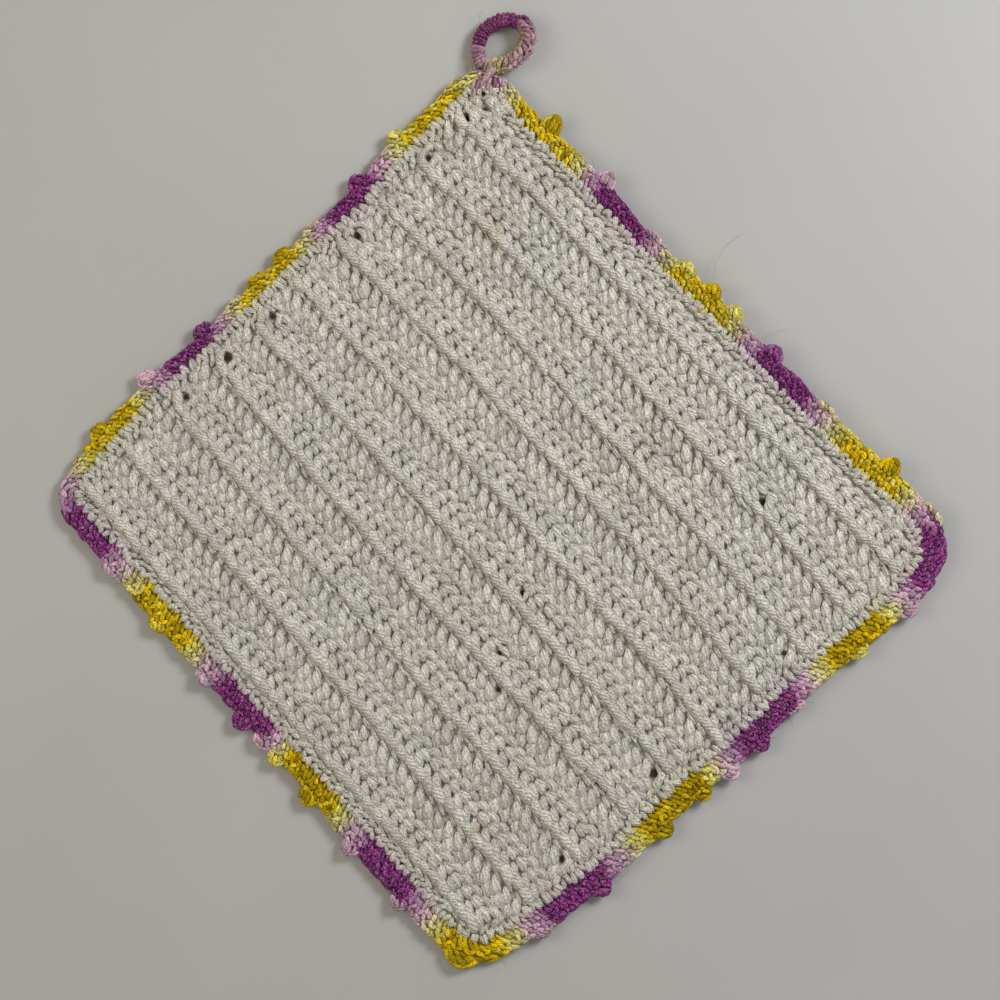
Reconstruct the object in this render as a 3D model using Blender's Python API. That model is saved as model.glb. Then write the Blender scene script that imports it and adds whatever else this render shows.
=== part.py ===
"""A crocheted pot holder lying flat.

The white cloth is worked in rows that run along X, with ten raised ribs across it. A finer,
variegated thread edges it all round, with a small picot every 12 to 20 mm, and ends in a ring
to hang it by at the corner towards -X and +Y. The cloth's flat underside is at Z = 0.
"""

import math
from collections import namedtuple

import bmesh
import bpy
from mathutils import Vector

MM = 0.001
WELD = 1e-6

# Driving dimensions, in millimetres
PANEL_MIDDLE = (0.85, -3.9)  # the cloth's middle, seen from the middle of the whole pot holder
RIB_TOP = 4.0
EDGING_THICK = 2.9
LOOP_CORD = 3.2
GAP = 0.3
LIFT_CURVE = 1.5  # the edging's lift grows outwards from the cloth by this power
PICOT_SWELL = 0.04  # how much thicker a picot is, for each millimetre of its reach
PICOT_SPREAD = 2.5  # half of a picot's width along the edge
PLACES_A_ROW = 60  # along the smooth outline, from one row of OUTLINE to the next
STEP_LONGEST = 4.6  # between two sections of the edging
STEP_SHORTEST = 1.2
TURN_MOST = math.radians(14)
FACING = 0.6  # a place belongs to the side that it faces this squarely

# Once round the cloth, anticlockwise from the ring's corner, measured from the cloth's middle:
# x and y of the white cloth's edge, the edging's width there, and how far its rim is lifted
OUTLINE = (
    # (x, y, width, lift)
    (-81.3, 73.5, 1.9, 0.3),
    (-81.8, 68.0, 3.6, 0.5),
    (-81.3, 46.0, 4.4, 0.4),
    (-79.9, 33.0, 4.3, 0.3),
    (-80.8, 6.0, 3.6, 0.3),
    (-80.8, -20.0, 3.6, 0.3),
    (-81.4, -36.0, 4.0, 0.2),
    (-80.3, -55.0, 4.2, 0.0),
    (-78.6, -66.5, 4.2, 0.0),
    (-76.2, -70.6, 4.8, 0.0),
    (-71.0, -71.6, 5.2, 0.0),
    (-52.0, -72.0, 5.8, 0.0),
    (-24.0, -73.6, 5.8, 0.0),
    (2.0, -74.6, 5.2, 0.0),
    (26.0, -75.8, 5.9, 0.0),
    (50.0, -77.0, 6.2, 0.0),
    (66.0, -77.6, 6.0, 0.0),
    (72.2, -76.0, 5.5, 0.0),
    (75.2, -71.0, 5.7, 0.2),
    (77.4, -58.0, 6.0, 0.3),
    (79.6, -40.0, 5.8, 0.3),
    (79.6, -14.0, 5.9, 0.4),
    (81.0, 8.0, 5.8, 0.5),
    (80.9, 30.0, 5.6, 0.6),
    (82.3, 56.0, 6.0, 0.8),
    (81.6, 68.0, 6.2, 1.2),
    (78.4, 73.4, 6.0, 1.6),
    (72.0, 75.2, 5.8, 2.0),
    (50.0, 74.6, 5.4, 2.2),
    (22.0, 74.6, 4.8, 2.2),
    (-2.0, 74.6, 4.6, 2.2),
    (-24.0, 73.9, 4.2, 2.0),
    (-44.0, 74.6, 4.8, 1.8),
    (-66.0, 74.3, 4.3, 1.0),
    (-74.0, 75.1, 3.8, 0.7),
    (-78.8, 75.1, 1.8, 0.3),
)

# Each picot: where it stands along its side, and how far it reaches past the edging's rim.
# Along X on the top and bottom sides, along Y on the left and right sides
PICOTS = {
    # side: (direction out of the cloth, ((place, reach), ...))
    "left": (
        Vector((-1, 0)),
        ((67.8, 0.9), (49.6, 2.0), (34.2, 2.0), (17.8, 1.2), (7.9, 1.6), (-1.2, 1.4), (-8.6, 1.0),
         (-19.4, 2.0), (-37.3, 2.4), (-55.0, 2.0)),
    ),
    "bottom": (
        Vector((0, -1)),
        ((-57.4, 1.2), (-39.5, 1.6), (-22.2, 1.8), (-7.4, 2.5), (-0.4, 1.8), (5.5, 2.2), (17.7, 2.4),
         (33.8, 2.3), (52.4, 1.8), (71.0, 2.2)),
    ),
    "right": (
        Vector((1, 0)),
        ((-61.2, 1.6), (-43.9, 2.0), (-23.1, 2.4), (-9.2, 1.7), (-0.1, 2.2), (9.6, 1.8), (22.4, 1.2),
         (43.1, 1.4), (59.3, 1.8)),
    ),
    "top": (
        Vector((0, 1)),
        ((73.9, 1.3), (58.9, 2.8), (37.5, 1.2), (18.3, 2.2), (5.2, 2.0), (-2.5, 2.2), (-11.1, 1.8),
         (-23.3, 1.2), (-41.8, 2.4), (-60.5, 3.0)),
    ),
}

# A picot's round end: share of PICOT_SPREAD along the edge, share of its reach
PICOT_FORM = (
    # (along, reach)
    (-1.0, 0.0),
    (-0.85, 0.55),
    (-0.45, 0.90),
    (0.0, 1.0),
    (0.45, 0.90),
    (0.85, 0.55),
    (1.0, 0.0),
)

# The crest of each rib, from the top one down: y on the left, in the middle and on the right
RIB_STATIONS = (-65.0, -2.5, 70.0)
RIBS = (
    # (left, middle, right)
    (64.5, 65.0, 64.5),
    (50.0, 51.0, 49.3),
    (36.3, 36.5, 34.5),
    (21.5, 22.3, 19.5),
    (6.8, 6.5, 4.0),
    (-7.8, -8.8, -10.8),
    (-22.0, -24.5, -25.5),
    (-37.0, -39.3, -41.8),
    (-53.0, -54.8, -58.3),
    (-67.0, -69.5, -72.8),
)
RIB_PITCH = 14.6  # carries the ribs on past the first and the last

# The cloth's height from one crest to the next: share of the way down, share of RIB_TOP
RIB_PROFILE = (
    # (way, height)
    (0.00, 1.00),
    (0.07, 0.94),
    (0.13, 0.70),
    (0.26, 0.77),
    (0.43, 0.83),
    (0.58, 0.75),
    (0.70, 0.79),
    (0.83, 0.72),
    (0.92, 0.91),
)
SLAB_COLUMNS = 12
SLAB_MARGIN = 4.0  # by which the ribbed sheet is larger than the outline that is cut from it

# The edging's section: share of its width outwards from the cloth, share of EDGING_THICK up
EDGING_SECTION = (
    # (across, up)
    (1.00, 0.46),
    (0.90, 0.84),
    (0.60, 1.00),
    (0.25, 0.96),
    (0.00, 0.84),
    (0.00, 0.04),
    (0.50, 0.00),
    (0.90, 0.08),
)

# The ring's centre line, from its foot at the corner clockwise, from the cloth's middle
LOOP_LINE = (
    # (x, y, z, share of LOOP_CORD)
    (-83.8, 77.6, 1.80, 1.05),
    (-87.4, 78.8, 1.72, 0.96),
    (-90.3, 82.6, 1.72, 0.98),
    (-90.2, 86.6, 1.82, 1.06),
    (-88.0, 90.0, 2.00, 1.04),
    (-84.4, 91.6, 2.40, 1.00),
    (-80.9, 90.4, 3.00, 1.06),
    (-78.8, 86.4, 3.60, 1.14),
    (-79.2, 82.4, 3.20, 1.14),
    (-81.0, 79.2, 2.40, 1.06),
)

# The thread's colours round the edging: each run's middle, by side and place, and its tone
DYE_RUNS = {
    "left": ((59.0, "yellow"), (30.5, "purple"), (1.5, "yellow"), (-24.0, "purple"), (-52.0, "yellow")),
    "bottom": ((-68.0, "purple"), (-39.5, "yellow"), (-10.0, "purple"), (14.5, "yellow"), (44.5, "purple"),
               (72.0, "yellow")),
    "right": ((-50.0, "purple"), (-18.0, "yellow"), (14.0, "purple"), (42.5, "yellow"), (70.0, "purple")),
    "top": ((57.0, "yellow"), (25.5, "purple"), (-5.0, "yellow"), (-33.0, "purple"), (-61.0, "yellow"),
            (-78.5, "purple")),
}
DYES = ("yellow", "purple")
FINISHES = {
    # name: (base colour, roughness)
    "white cotton": ((0.40, 0.36, 0.29, 1.0), 0.72),
    "yellow thread": ((0.40, 0.27, 0.02, 1.0), 0.60),
    "purple thread": ((0.12, 0.02, 0.10, 1.0), 0.60),
}


Place = namedtuple("Place", "x y width lift out gone")


def finish(name):
    """The cotton finish of this name, made once."""
    found = bpy.data.materials.get(name)
    if found:
        return found
    colour, roughness = FINISHES[name]
    material = bpy.data.materials.new(name)
    material.use_nodes = True
    shader = material.node_tree.nodes["Principled BSDF"]
    shader.inputs["Base Color"].default_value = colour
    shader.inputs["Roughness"].default_value = roughness
    shader.inputs["Metallic"].default_value = 0.0
    material.diffuse_color = colour
    return material


def new_collection(name):
    collection = bpy.data.collections.new(name)
    bpy.context.scene.collection.children.link(collection)
    return collection


def move_to(obj, collection):
    for old in list(obj.users_collection):
        old.objects.unlink(obj)
    collection.objects.link(obj)


def spline_value(a, b, c, d, share):
    """The value between b and c on the smooth curve through all four."""
    rise = 2 * a - 5 * b + 4 * c - d
    bend = 3 * b - a - 3 * c + d
    return 0.5 * (2 * b + (c - a) * share + rise * share**2 + bend * share**3)


def outline_places():
    """Close places once round the cloth, on the smooth closed curve through OUTLINE's rows."""
    rows = []
    for i in range(len(OUTLINE)):
        four = [OUTLINE[(i + k) % len(OUTLINE)] for k in (-1, 0, 1, 2)]
        for step in range(PLACES_A_ROW):
            rows.append([spline_value(*column, step / PLACES_A_ROW) for column in zip(*four)])
    places = []
    gone = 0.0
    for i, (x, y, width, lift) in enumerate(rows):
        before = Vector(rows[i - 1][:2])
        after = Vector(rows[(i + 1) % len(rows)][:2])
        along = (after - before).normalized()
        places.append(Place(x, y, width, lift, Vector((along.y, -along.x)), gone))
        gone += (after - Vector((x, y))).length
    return places


def nearest(places, side, where):
    """The index of the place on this side of the cloth that lies here along it."""
    out = PICOTS[side][0]
    facing = [i for i, place in enumerate(places) if place.out.dot(out) > FACING]
    if out.x:
        return min(facing, key=lambda i: abs(places[i].y - where))
    return min(facing, key=lambda i: abs(places[i].x - where))


def picot_sections(places):
    """The places where the picots' sections stand, each with its picot's reach there."""
    reaches = {}
    for side, (_, picots) in PICOTS.items():
        for where, reach in picots:
            middle = nearest(places, side, where)
            for along, share in PICOT_FORM:
                target = places[middle].gone + along * PICOT_SPREAD
                section = min(range(len(places)), key=lambda i: abs(places[i].gone - target))
                reaches[section] = reach * share
    return reaches


def sections_needed(places, reaches):
    """The places that the shape needs: each picot's sections, and others where it runs or turns."""
    kept = [0]
    for i in range(1, len(places)):
        last = kept[-1]
        if i in reaches:
            kept.append(i)
            continue
        ahead = min((places[k].gone - places[i].gone for k in reaches if k > i), default=STEP_LONGEST)
        if reaches.get(last, 0) > 0 or ahead < STEP_SHORTEST:
            continue
        turn = places[i].out.angle(places[last].out)
        if places[i].gone - places[last].gone >= STEP_LONGEST or turn >= TURN_MOST:
            kept.append(i)
    return kept


def in_place(x, y, z):
    """From the cloth's own middle, in millimetres, to the pot holder's frame."""
    return Vector((x + PANEL_MIDDLE[0], y + PANEL_MIDDLE[1], z)) * MM


def weld(data):
    """Merges the points that coincide, and turns all faces outwards."""
    mesh = bmesh.new()
    mesh.from_mesh(data)
    bmesh.ops.remove_doubles(mesh, verts=mesh.verts[:], dist=WELD)
    bmesh.ops.recalc_face_normals(mesh, faces=mesh.faces[:])
    mesh.to_mesh(data)
    mesh.free()


def rib_line(rib, x):
    """A rib's y at this x, on a smooth line through its three stations."""
    y = 0.0
    for station, value in zip(RIB_STATIONS, rib):
        weight = 1.0
        for other in RIB_STATIONS:
            if other != station:
                weight *= (x - other) / (station - other)
        y += weight * value
    return y


def ribbed_sheet():
    """A sheet larger than the cloth, raised into its ribs and let down below Z = 0."""
    first = tuple(y + RIB_PITCH for y in RIBS[0])
    last = tuple(y - RIB_PITCH for y in RIBS[-1])
    ribs = (first, *RIBS, last)
    rows = [(k, way, height) for k in range(len(ribs) - 1) for way, height in RIB_PROFILE]
    half = max(abs(row[0]) for row in OUTLINE) + SLAB_MARGIN
    bpy.ops.mesh.primitive_grid_add(x_subdivisions=SLAB_COLUMNS, y_subdivisions=len(rows) - 1, size=2)
    sheet = bpy.context.object
    for vertex in sheet.data.vertices:
        x = vertex.co.x * half
        k, way, height = rows[round((1 - vertex.co.y) / 2 * (len(rows) - 1))]
        y = rib_line(ribs[k], x) * (1 - way) + rib_line(ribs[k + 1], x) * way
        vertex.co = in_place(x, y, height * RIB_TOP)
    mesh = bmesh.new()
    mesh.from_mesh(sheet.data)
    lowered = bmesh.ops.extrude_face_region(mesh, geom=mesh.faces[:], use_keep_orig=True)
    for item in lowered["geom"]:
        if isinstance(item, bmesh.types.BMVert):
            item.co.z = -RIB_TOP * MM
    bmesh.ops.recalc_face_normals(mesh, faces=mesh.faces[:])
    mesh.to_mesh(sheet.data)
    mesh.free()
    return sheet


def outline_block(corners):
    """An upright block with the cloth's outline, standing on Z = 0."""
    curve = bpy.data.curves.new("panel_outline", "CURVE")
    curve.dimensions = "2D"
    curve.fill_mode = "BOTH"
    curve.extrude = RIB_TOP * MM
    spline = curve.splines.new("POLY")
    spline.points.add(len(corners) - 1)
    for point, place in zip(spline.points, corners):
        point.co = (*in_place(place.x, place.y, 0).xy, 0, 1)
    spline.use_cyclic_u = True
    guide = bpy.data.objects.new("panel_outline_guide", curve)
    guide.location.z = curve.extrude
    bpy.context.scene.collection.objects.link(guide)
    bpy.context.view_layer.update()
    evaluated = guide.evaluated_get(bpy.context.evaluated_depsgraph_get())
    block = bpy.data.objects.new("panel_cutter", bpy.data.meshes.new_from_object(evaluated))
    block.matrix_world = guide.matrix_world
    bpy.data.objects.remove(guide)
    weld(block.data)
    return block


def make_panel(corners, parts, cutters):
    """The white cloth: the ribbed sheet, cut to the outline and flat underneath."""
    panel = ribbed_sheet()
    panel.name = "panel"
    move_to(panel, parts)
    block = outline_block(corners)
    cutters.objects.link(block)
    block.hide_render = True
    block.display_type = "WIRE"
    cut = panel.modifiers.new("Cut to outline", "BOOLEAN")
    cut.operation = "INTERSECT"
    cut.solver = "EXACT"
    cut.object = block
    panel.data.materials.append(finish("white cotton"))


def edging_section(place, reach):
    """One section of the edging, from its rim over the top to the cloth and back below."""
    section = []
    for across, up in EDGING_SECTION:
        picot = reach * max(0.0, 2 * across - 1)
        away = GAP + across * place.width + picot
        height = up * EDGING_THICK * (1 + PICOT_SWELL * picot) + max(0.0, place.lift) * across**LIFT_CURVE
        section.append(in_place(place.x + place.out.x * away, place.y + place.out.y * away, height))
    return section


def dye_middles(places):
    """The middle of each run of colour round the edging, and its tone."""
    middles = []
    for side, runs in DYE_RUNS.items():
        for where, tone in runs:
            place = places[nearest(places, side, where)]
            middles.append((in_place(place.x, place.y, 0), tone))
    return middles


def make_edging(places, reaches, kept, parts):
    """The variegated edging: a grid rolled into a ring of sections round the cloth."""
    rings, around = len(kept), len(EDGING_SECTION)
    bpy.ops.mesh.primitive_grid_add(x_subdivisions=rings, y_subdivisions=around, size=2)
    edging = bpy.context.object
    edging.name = "edging"
    sections = [edging_section(places[i], reaches.get(i, 0.0)) for i in kept]
    for vertex in edging.data.vertices:
        ring = round((vertex.co.x + 1) / 2 * rings) % rings
        turn = round((vertex.co.y + 1) / 2 * around) % around
        vertex.co = sections[ring][turn]
    weld(edging.data)
    for tone in DYES:
        edging.data.materials.append(finish(f"{tone} thread"))
    middles = dye_middles(places)
    for face in edging.data.polygons:
        tone = min(middles, key=lambda middle: (middle[0] - face.center).length)[1]
        face.material_index = DYES.index(tone)
    edging.data.shade_smooth()
    edging.data.set_sharp_from_angle(angle=math.radians(50))
    move_to(edging, parts)


def make_hanging_loop(parts):
    """The thread-covered ring at the corner, a little raised on its side towards the cloth."""
    curve = bpy.data.curves.new("hanging_loop", "CURVE")
    curve.dimensions = "3D"
    curve.bevel_depth = LOOP_CORD / 2 * MM
    curve.bevel_resolution = 3
    curve.resolution_u = 5
    spline = curve.splines.new("BEZIER")
    spline.bezier_points.add(len(LOOP_LINE) - 1)
    for point, (x, y, z, share) in zip(spline.bezier_points, LOOP_LINE):
        point.co = in_place(x, y, z)
        point.radius = share
        point.handle_left_type = "AUTO"
        point.handle_right_type = "AUTO"
    spline.use_cyclic_u = True
    loop = bpy.data.objects.new("hanging_loop", curve)
    loop.data.materials.append(finish("purple thread"))
    parts.objects.link(loop)


def main():
    for obj in list(bpy.data.objects):
        bpy.data.objects.remove(obj)
    parts = new_collection("crocheted_pot_holder")
    cutters = new_collection("cutters")
    places = outline_places()
    reaches = picot_sections(places)
    kept = sections_needed(places, reaches)
    make_panel([places[i] for i in kept], parts, cutters)
    make_edging(places, reaches, kept, parts)
    make_hanging_loop(parts)


main()
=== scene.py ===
"""The looks of a crocheted pot holder that lies flat: its yarn stitches, edging, ring and stage."""

import math
import random

import bmesh
import bpy
from mathutils import Matrix, Vector, kdtree, noise


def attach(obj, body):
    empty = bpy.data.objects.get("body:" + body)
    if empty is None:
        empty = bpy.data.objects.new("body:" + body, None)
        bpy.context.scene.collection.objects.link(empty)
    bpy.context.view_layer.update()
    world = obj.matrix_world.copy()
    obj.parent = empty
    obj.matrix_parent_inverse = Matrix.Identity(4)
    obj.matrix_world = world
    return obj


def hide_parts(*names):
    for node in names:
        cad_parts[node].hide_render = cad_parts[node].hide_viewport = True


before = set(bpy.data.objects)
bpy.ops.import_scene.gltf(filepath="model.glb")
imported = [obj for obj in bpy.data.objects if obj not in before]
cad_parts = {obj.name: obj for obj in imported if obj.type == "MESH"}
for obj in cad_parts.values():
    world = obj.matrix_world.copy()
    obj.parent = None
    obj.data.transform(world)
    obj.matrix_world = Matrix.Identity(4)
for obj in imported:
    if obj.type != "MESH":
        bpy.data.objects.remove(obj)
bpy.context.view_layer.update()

bl_info = {
    "name": "Crocheted pot holder",
    "version": (1, 0, 0),
    "blender": (4, 5, 0),
    "location": "View3D > Sidebar > Pot holder",
    "description": "Works a crocheted pot holder stitch by stitch, with its edging and its ring",
    "category": "Object",
}

MM = 0.001
SMALL = 0.25  # millimetres: the unit that the stitch tables are written in
CLOTH_MIDDLE = (0.85, -3.9)  # the cloth's middle, in millimetres from the pot holder's middle

# ---------------------------------------------------------------- the cloth, in millimetres

# Openings where a row turns, and a few slack stitches: x, y and radius
HOLES = (
    (73.3, -14.9, 0.75),
    (-75.4, -19.3, 0.70),
    (43.3, 51.8, 0.60),
    (-74.7, 25.2, 0.55),
    (-75.0, -4.0, 0.50),
    (-76.7, 65.4, 0.60),
    (-75.2, 70.1, 0.40),
    (-78.4, 72.6, 0.40),
    (-76.4, 51.6, 0.45),
    (-75.5, -33.6, 0.45),
    (72.7, -46.3, 0.50),
    (74.3, 29.5, 0.40),
    (24.9, -21.7, 0.40),
    (18.0, -7.2, 0.40),
    (31.3, -28.2, 0.40),
)
OPENING_SHADE = 2.2  # how wide the table's shadow shows through one, for its radius
HOLE_REACH = 5.0  # millimetres: a strand further away isn't bent by an opening
HOLE_RIM = 1.6  # millimetres past its radius where the bend of a strand ends
# Marks on the cloth: x, y, radius and how dark, 0 to 1
MARKS = (
    (-54.6, 52.4, 5.0, 0.34),
    (-50.4, 48.6, 4.0, 0.26),
    (-47.0, 44.0, 3.0, 0.16),
    (52.7, -56.1, 2.4, 0.60),
    (-9.1, 1.3, 0.5, 0.80),
)

# Once round the cloth, anticlockwise from the ring's corner, measured from the cloth's middle:
# x and y of the white cloth's edge, the edging's width there, how far its rim is lifted, and
# how deep the white round along the edge reaches into the cloth
OUTLINE = (
    # (x, y, width, lift, round)
    (-80.9, 74.6, 2.8, 0.3, 3.0),
    (-81.5, 72.4, 3.6, 0.4, 3.2),
    (-81.8, 67.0, 3.6, 0.5, 3.4),
    (-81.3, 46.0, 4.4, 0.4, 3.6),
    (-79.9, 33.0, 4.3, 0.3, 3.6),
    (-80.8, 6.0, 3.6, 0.3, 3.6),
    (-80.8, -20.0, 3.6, 0.3, 3.6),
    (-81.4, -36.0, 4.0, 0.2, 3.6),
    (-80.3, -55.0, 4.2, 0.0, 3.6),
    (-78.6, -66.5, 4.2, 0.0, 3.4),
    (-76.2, -70.6, 4.8, 0.0, 3.0),
    (-71.0, -71.6, 5.2, 0.0, 2.6),
    (-52.0, -72.0, 5.8, 0.0, 2.4),
    (-24.0, -73.6, 5.8, 0.0, 2.4),
    (2.0, -74.6, 5.2, 0.0, 2.4),
    (26.0, -75.8, 5.9, 0.0, 2.4),
    (50.0, -77.0, 6.2, 0.0, 2.4),
    (66.0, -77.6, 6.0, 0.0, 2.6),
    (72.2, -76.0, 5.5, 0.0, 3.0),
    (75.2, -71.0, 5.7, 0.2, 3.4),
    (77.4, -58.0, 6.0, 0.3, 3.6),
    (79.6, -40.0, 5.8, 0.3, 3.6),
    (79.6, -14.0, 5.9, 0.4, 3.6),
    (81.0, 8.0, 5.8, 0.5, 3.6),
    (80.9, 30.0, 5.6, 0.6, 3.6),
    (82.3, 56.0, 6.0, 0.8, 3.6),
    (81.6, 68.0, 6.2, 1.2, 3.4),
    (78.4, 73.4, 6.0, 1.6, 3.0),
    (72.0, 75.2, 5.8, 2.0, 2.6),
    (50.0, 74.6, 5.4, 2.2, 2.4),
    (22.0, 74.6, 4.8, 2.2, 2.4),
    (-2.0, 74.6, 4.6, 2.2, 2.4),
    (-24.0, 73.9, 4.2, 2.0, 2.4),
    (-44.0, 74.6, 4.8, 1.8, 2.4),
    (-66.0, 74.3, 4.3, 1.0, 2.4),
    (-74.0, 75.1, 4.0, 0.7, 2.6),
    (-78.2, 75.5, 3.4, 0.4, 2.8),
    (-79.9, 75.5, 2.8, 0.3, 3.0),
)

# The crest of each rib, and where its stitches fall: y of the crest on the left, in the middle
# and on the right, and x of the stitches numbered -17, 0 and 17
RIB_STATIONS = (-65.0, -2.5, 70.0)
STITCH_STATIONS = (-17.0, 0.0, 17.0)
RIBS = (
    # (left, middle, right, stitch -17, stitch 0, stitch 17)
    (79.1, 79.6, 79.1, -60.0, 0.9, 62.0),
    (64.5, 65.0, 64.5, -59.6, -0.7, 61.1),
    (50.0, 51.0, 49.3, -58.9, 1.4, 64.0),
    (36.3, 36.5, 34.5, -58.5, 1.3, 62.9),
    (21.5, 22.3, 19.5, -59.1, 0.6, 61.7),
    (6.8, 6.5, 4.0, -58.8, -0.8, 61.4),
    (-7.8, -8.8, -10.8, -58.8, -1.0, 61.2),
    (-22.0, -24.5, -25.5, -58.9, -0.6, 61.6),
    (-37.0, -39.3, -41.8, -59.0, -0.2, 61.1),
    (-53.0, -54.8, -58.3, -58.4, -0.2, 60.2),
    (-67.0, -69.5, -72.8, -58.6, -0.3, 60.0),
    (-81.6, -84.1, -87.4, -58.6, -0.3, 60.0),
)
STITCHES_EACH_WAY = 24
STITCH_PITCH = 14.3  # SMALLs
REPEAT = 59.0  # SMALLs from one rib's crest to the next
ROW_PULL = 0.6  # millimetres: how far the rows are pulled out of line here and there
PULL_ASIDE = Vector((9.3, -1.5, -7.9))  # keeps the pulls along a row and across it apart
WAVES_NOISE, PULL_NOISE = 0.05, 0.12  # how close together its waves and its rows' pulls come

# One stitch of the right side, in SMALLs: along the row, down from the rib's crest, height of
# the strand's middle over the table, and the strand's width. Twist turns its plies' lines
FRONT_STRANDS = {
    # name: (thickness for its width, twist, ((along, down, height, width), ...))
    "rib_rope": (0.60, 1.2, (
        (-8.0, 57.0, 10.0, 4.8), (-3.2, 58.6, 12.2, 9.2), (2.8, 60.0, 12.8, 10.8),
        (8.4, 61.4, 12.2, 9.8), (13.6, 62.6, 10.0, 5.8))),
    "rib_leaf": (0.62, 1.1, (
        (-0.6, 48.2, 9.2, 3.4), (2.5, 51.0, 11.6, 8.4), (6.4, 54.4, 12.8, 11.0),
        (10.4, 57.6, 11.8, 10.0), (13.6, 60.2, 9.6, 6.4))),
    "rib_head": (0.70, 0.3, (
        (4.6, 50.4, 10.6, 4.2), (7.0, 52.8, 12.8, 5.6), (9.6, 55.4, 13.0, 5.4),
        (12.6, 58.2, 11.8, 3.8))),
    "hook": (0.60, 0.3, (
        (0.0, 44.2, 8.8, 6.0), (3.4, 44.4, 10.1, 9.2), (7.4, 45.4, 10.4, 10.2), (11.2, 46.8, 9.8, 8.6),
        (14.0, 48.2, 8.7, 5.2))),
    "under_rib": (0.80, 0.3, (
        (-2.6, 7.0, 8.8, 4.2), (1.0, 8.0, 9.8, 6.2), (5.4, 9.8, 9.8, 7.0), (9.2, 11.6, 8.6, 4.6))),
    "rib_foot": (0.80, 0.3, (
        (-2.4, 5.2, 9.8, 3.6), (5.0, 6.0, 10.6, 4.6), (13.4, 6.8, 9.8, 3.6))),
    "leaf": (0.62, 0.5, (
        (0.6, 11.4, 8.8, 3.2), (4.6, 15.2, 10.8, 8.4), (9.6, 19.8, 11.6, 11.6),
        (14.6, 24.0, 9.4, 7.6))),
    "drop": (0.50, 0.6, (
        (0.4, 18.4, 8.4, 4.4), (2.6, 22.6, 9.6, 11.2), (5.2, 27.0, 10.0, 13.8), (8.0, 31.2, 9.2, 11.6),
        (9.8, 34.8, 8.2, 6.4))),
    "drop_dot": (0.85, 0.3, (
        (-3.2, 23.6, 8.4, 4.0), (-1.4, 27.0, 9.8, 5.2), (-0.2, 30.4, 8.6, 4.0))),
    "bead": (0.74, -0.4, (
        (-7.8, 40.0, 8.8, 5.4), (-4.6, 37.2, 11.0, 8.4), (-0.4, 35.6, 11.8, 9.4),
        (3.6, 36.8, 11.0, 8.2), (7.0, 39.6, 8.8, 5.0))),
    "thin_bead": (0.85, 0.4, (
        (-0.4, 41.6, 9.2, 5.0), (6.4, 40.8, 10.6, 7.0), (13.6, 40.6, 9.2, 5.0))),
}
# The pieces of the right side, and the strands that each one holds
FRONT_PIECES = {
    "panel_rib_strands": ("rib_rope", "rib_leaf", "rib_head", "hook"),
    "panel_upper_leaves": ("rib_foot", "under_rib", "leaf"),
    "panel_lower_leaves": ("drop", "drop_dot", "bead", "thin_bead"),
}
# The same strands for the underside, pressed flat on the table
BACK_STRANDS = {
    # name: (thickness for its width, twist, ((along, down, height, width), ...))
    "back_rope": (0.55, -1.0, (
        (-3, 3.0, 2.8, 6.0), (3, 5.0, 2.9, 9.0), (9, 6.0, 2.9, 9.4), (17, 4.0, 2.8, 6.0))),
    "back_leaf": (0.55, -0.3, (
        (0.5, 11.5, 2.8, 6.0), (5.5, 15.5, 2.9, 9.2), (12.5, 22.5, 2.8, 6.0))),
    "back_drop": (0.50, 0.5, (
        (1.5, 22.5, 2.8, 6.4), (5.0, 29.5, 3.0, 11.0), (9.0, 37.0, 2.8, 6.0))),
    "back_bead": (0.55, -1.0, (
        (-6.6, 44.0, 2.8, 5.0), (-0.5, 40.5, 2.9, 8.6), (6.6, 44.0, 2.8, 5.0))),
    "back_arch": (0.55, 0.6, (
        (1.0, 46.5, 2.8, 6.0), (5.0, 51.0, 2.9, 9.6), (10.0, 57.5, 2.8, 6.0))),
}

# One stitch of the white round along the edge, in SMALLs: along the edge to the right as seen
# from the middle of the cloth, outwards from the white cloth's edge, height, and width
ROUND_STRANDS = {
    # name: (thickness for its width, twist, ((along, outwards, height, width), ...))
    "tooth_left": (0.80, 0.4, (
        (-3.2, -9.0, 8.8, 3.6), (-3.0, -5.0, 10.8, 5.4), (-2.0, -1.4, 11.0, 5.8),
        (-0.6, 0.8, 9.6, 5.2))),
    "tooth_right": (0.80, 0.4, (
        (-0.4, 0.6, 10.0, 5.0), (1.0, -1.8, 11.2, 5.8), (2.4, -5.6, 10.8, 5.8), (3.6, -9.6, 8.8, 4.0))),
    "foot": (0.75, 0.4, (
        (-3.6, -15.6, 8.4, 4.0), (-1.4, -13.4, 10.4, 6.4), (1.8, -10.8, 10.8, 6.6),
        (4.6, -8.2, 9.0, 4.4))),
    "next_foot": (0.80, 0.4, (
        (2.0, -16.6, 8.4, 3.8), (4.2, -14.6, 10.0, 5.6), (6.0, -11.8, 9.4, 4.4))),
}
ROUND_DEPTH = 3.6  # millimetres: the depth that the white round is drawn with
ROUND_PITCH = 9.7  # SMALLs from one of its stitches to the next

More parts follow.
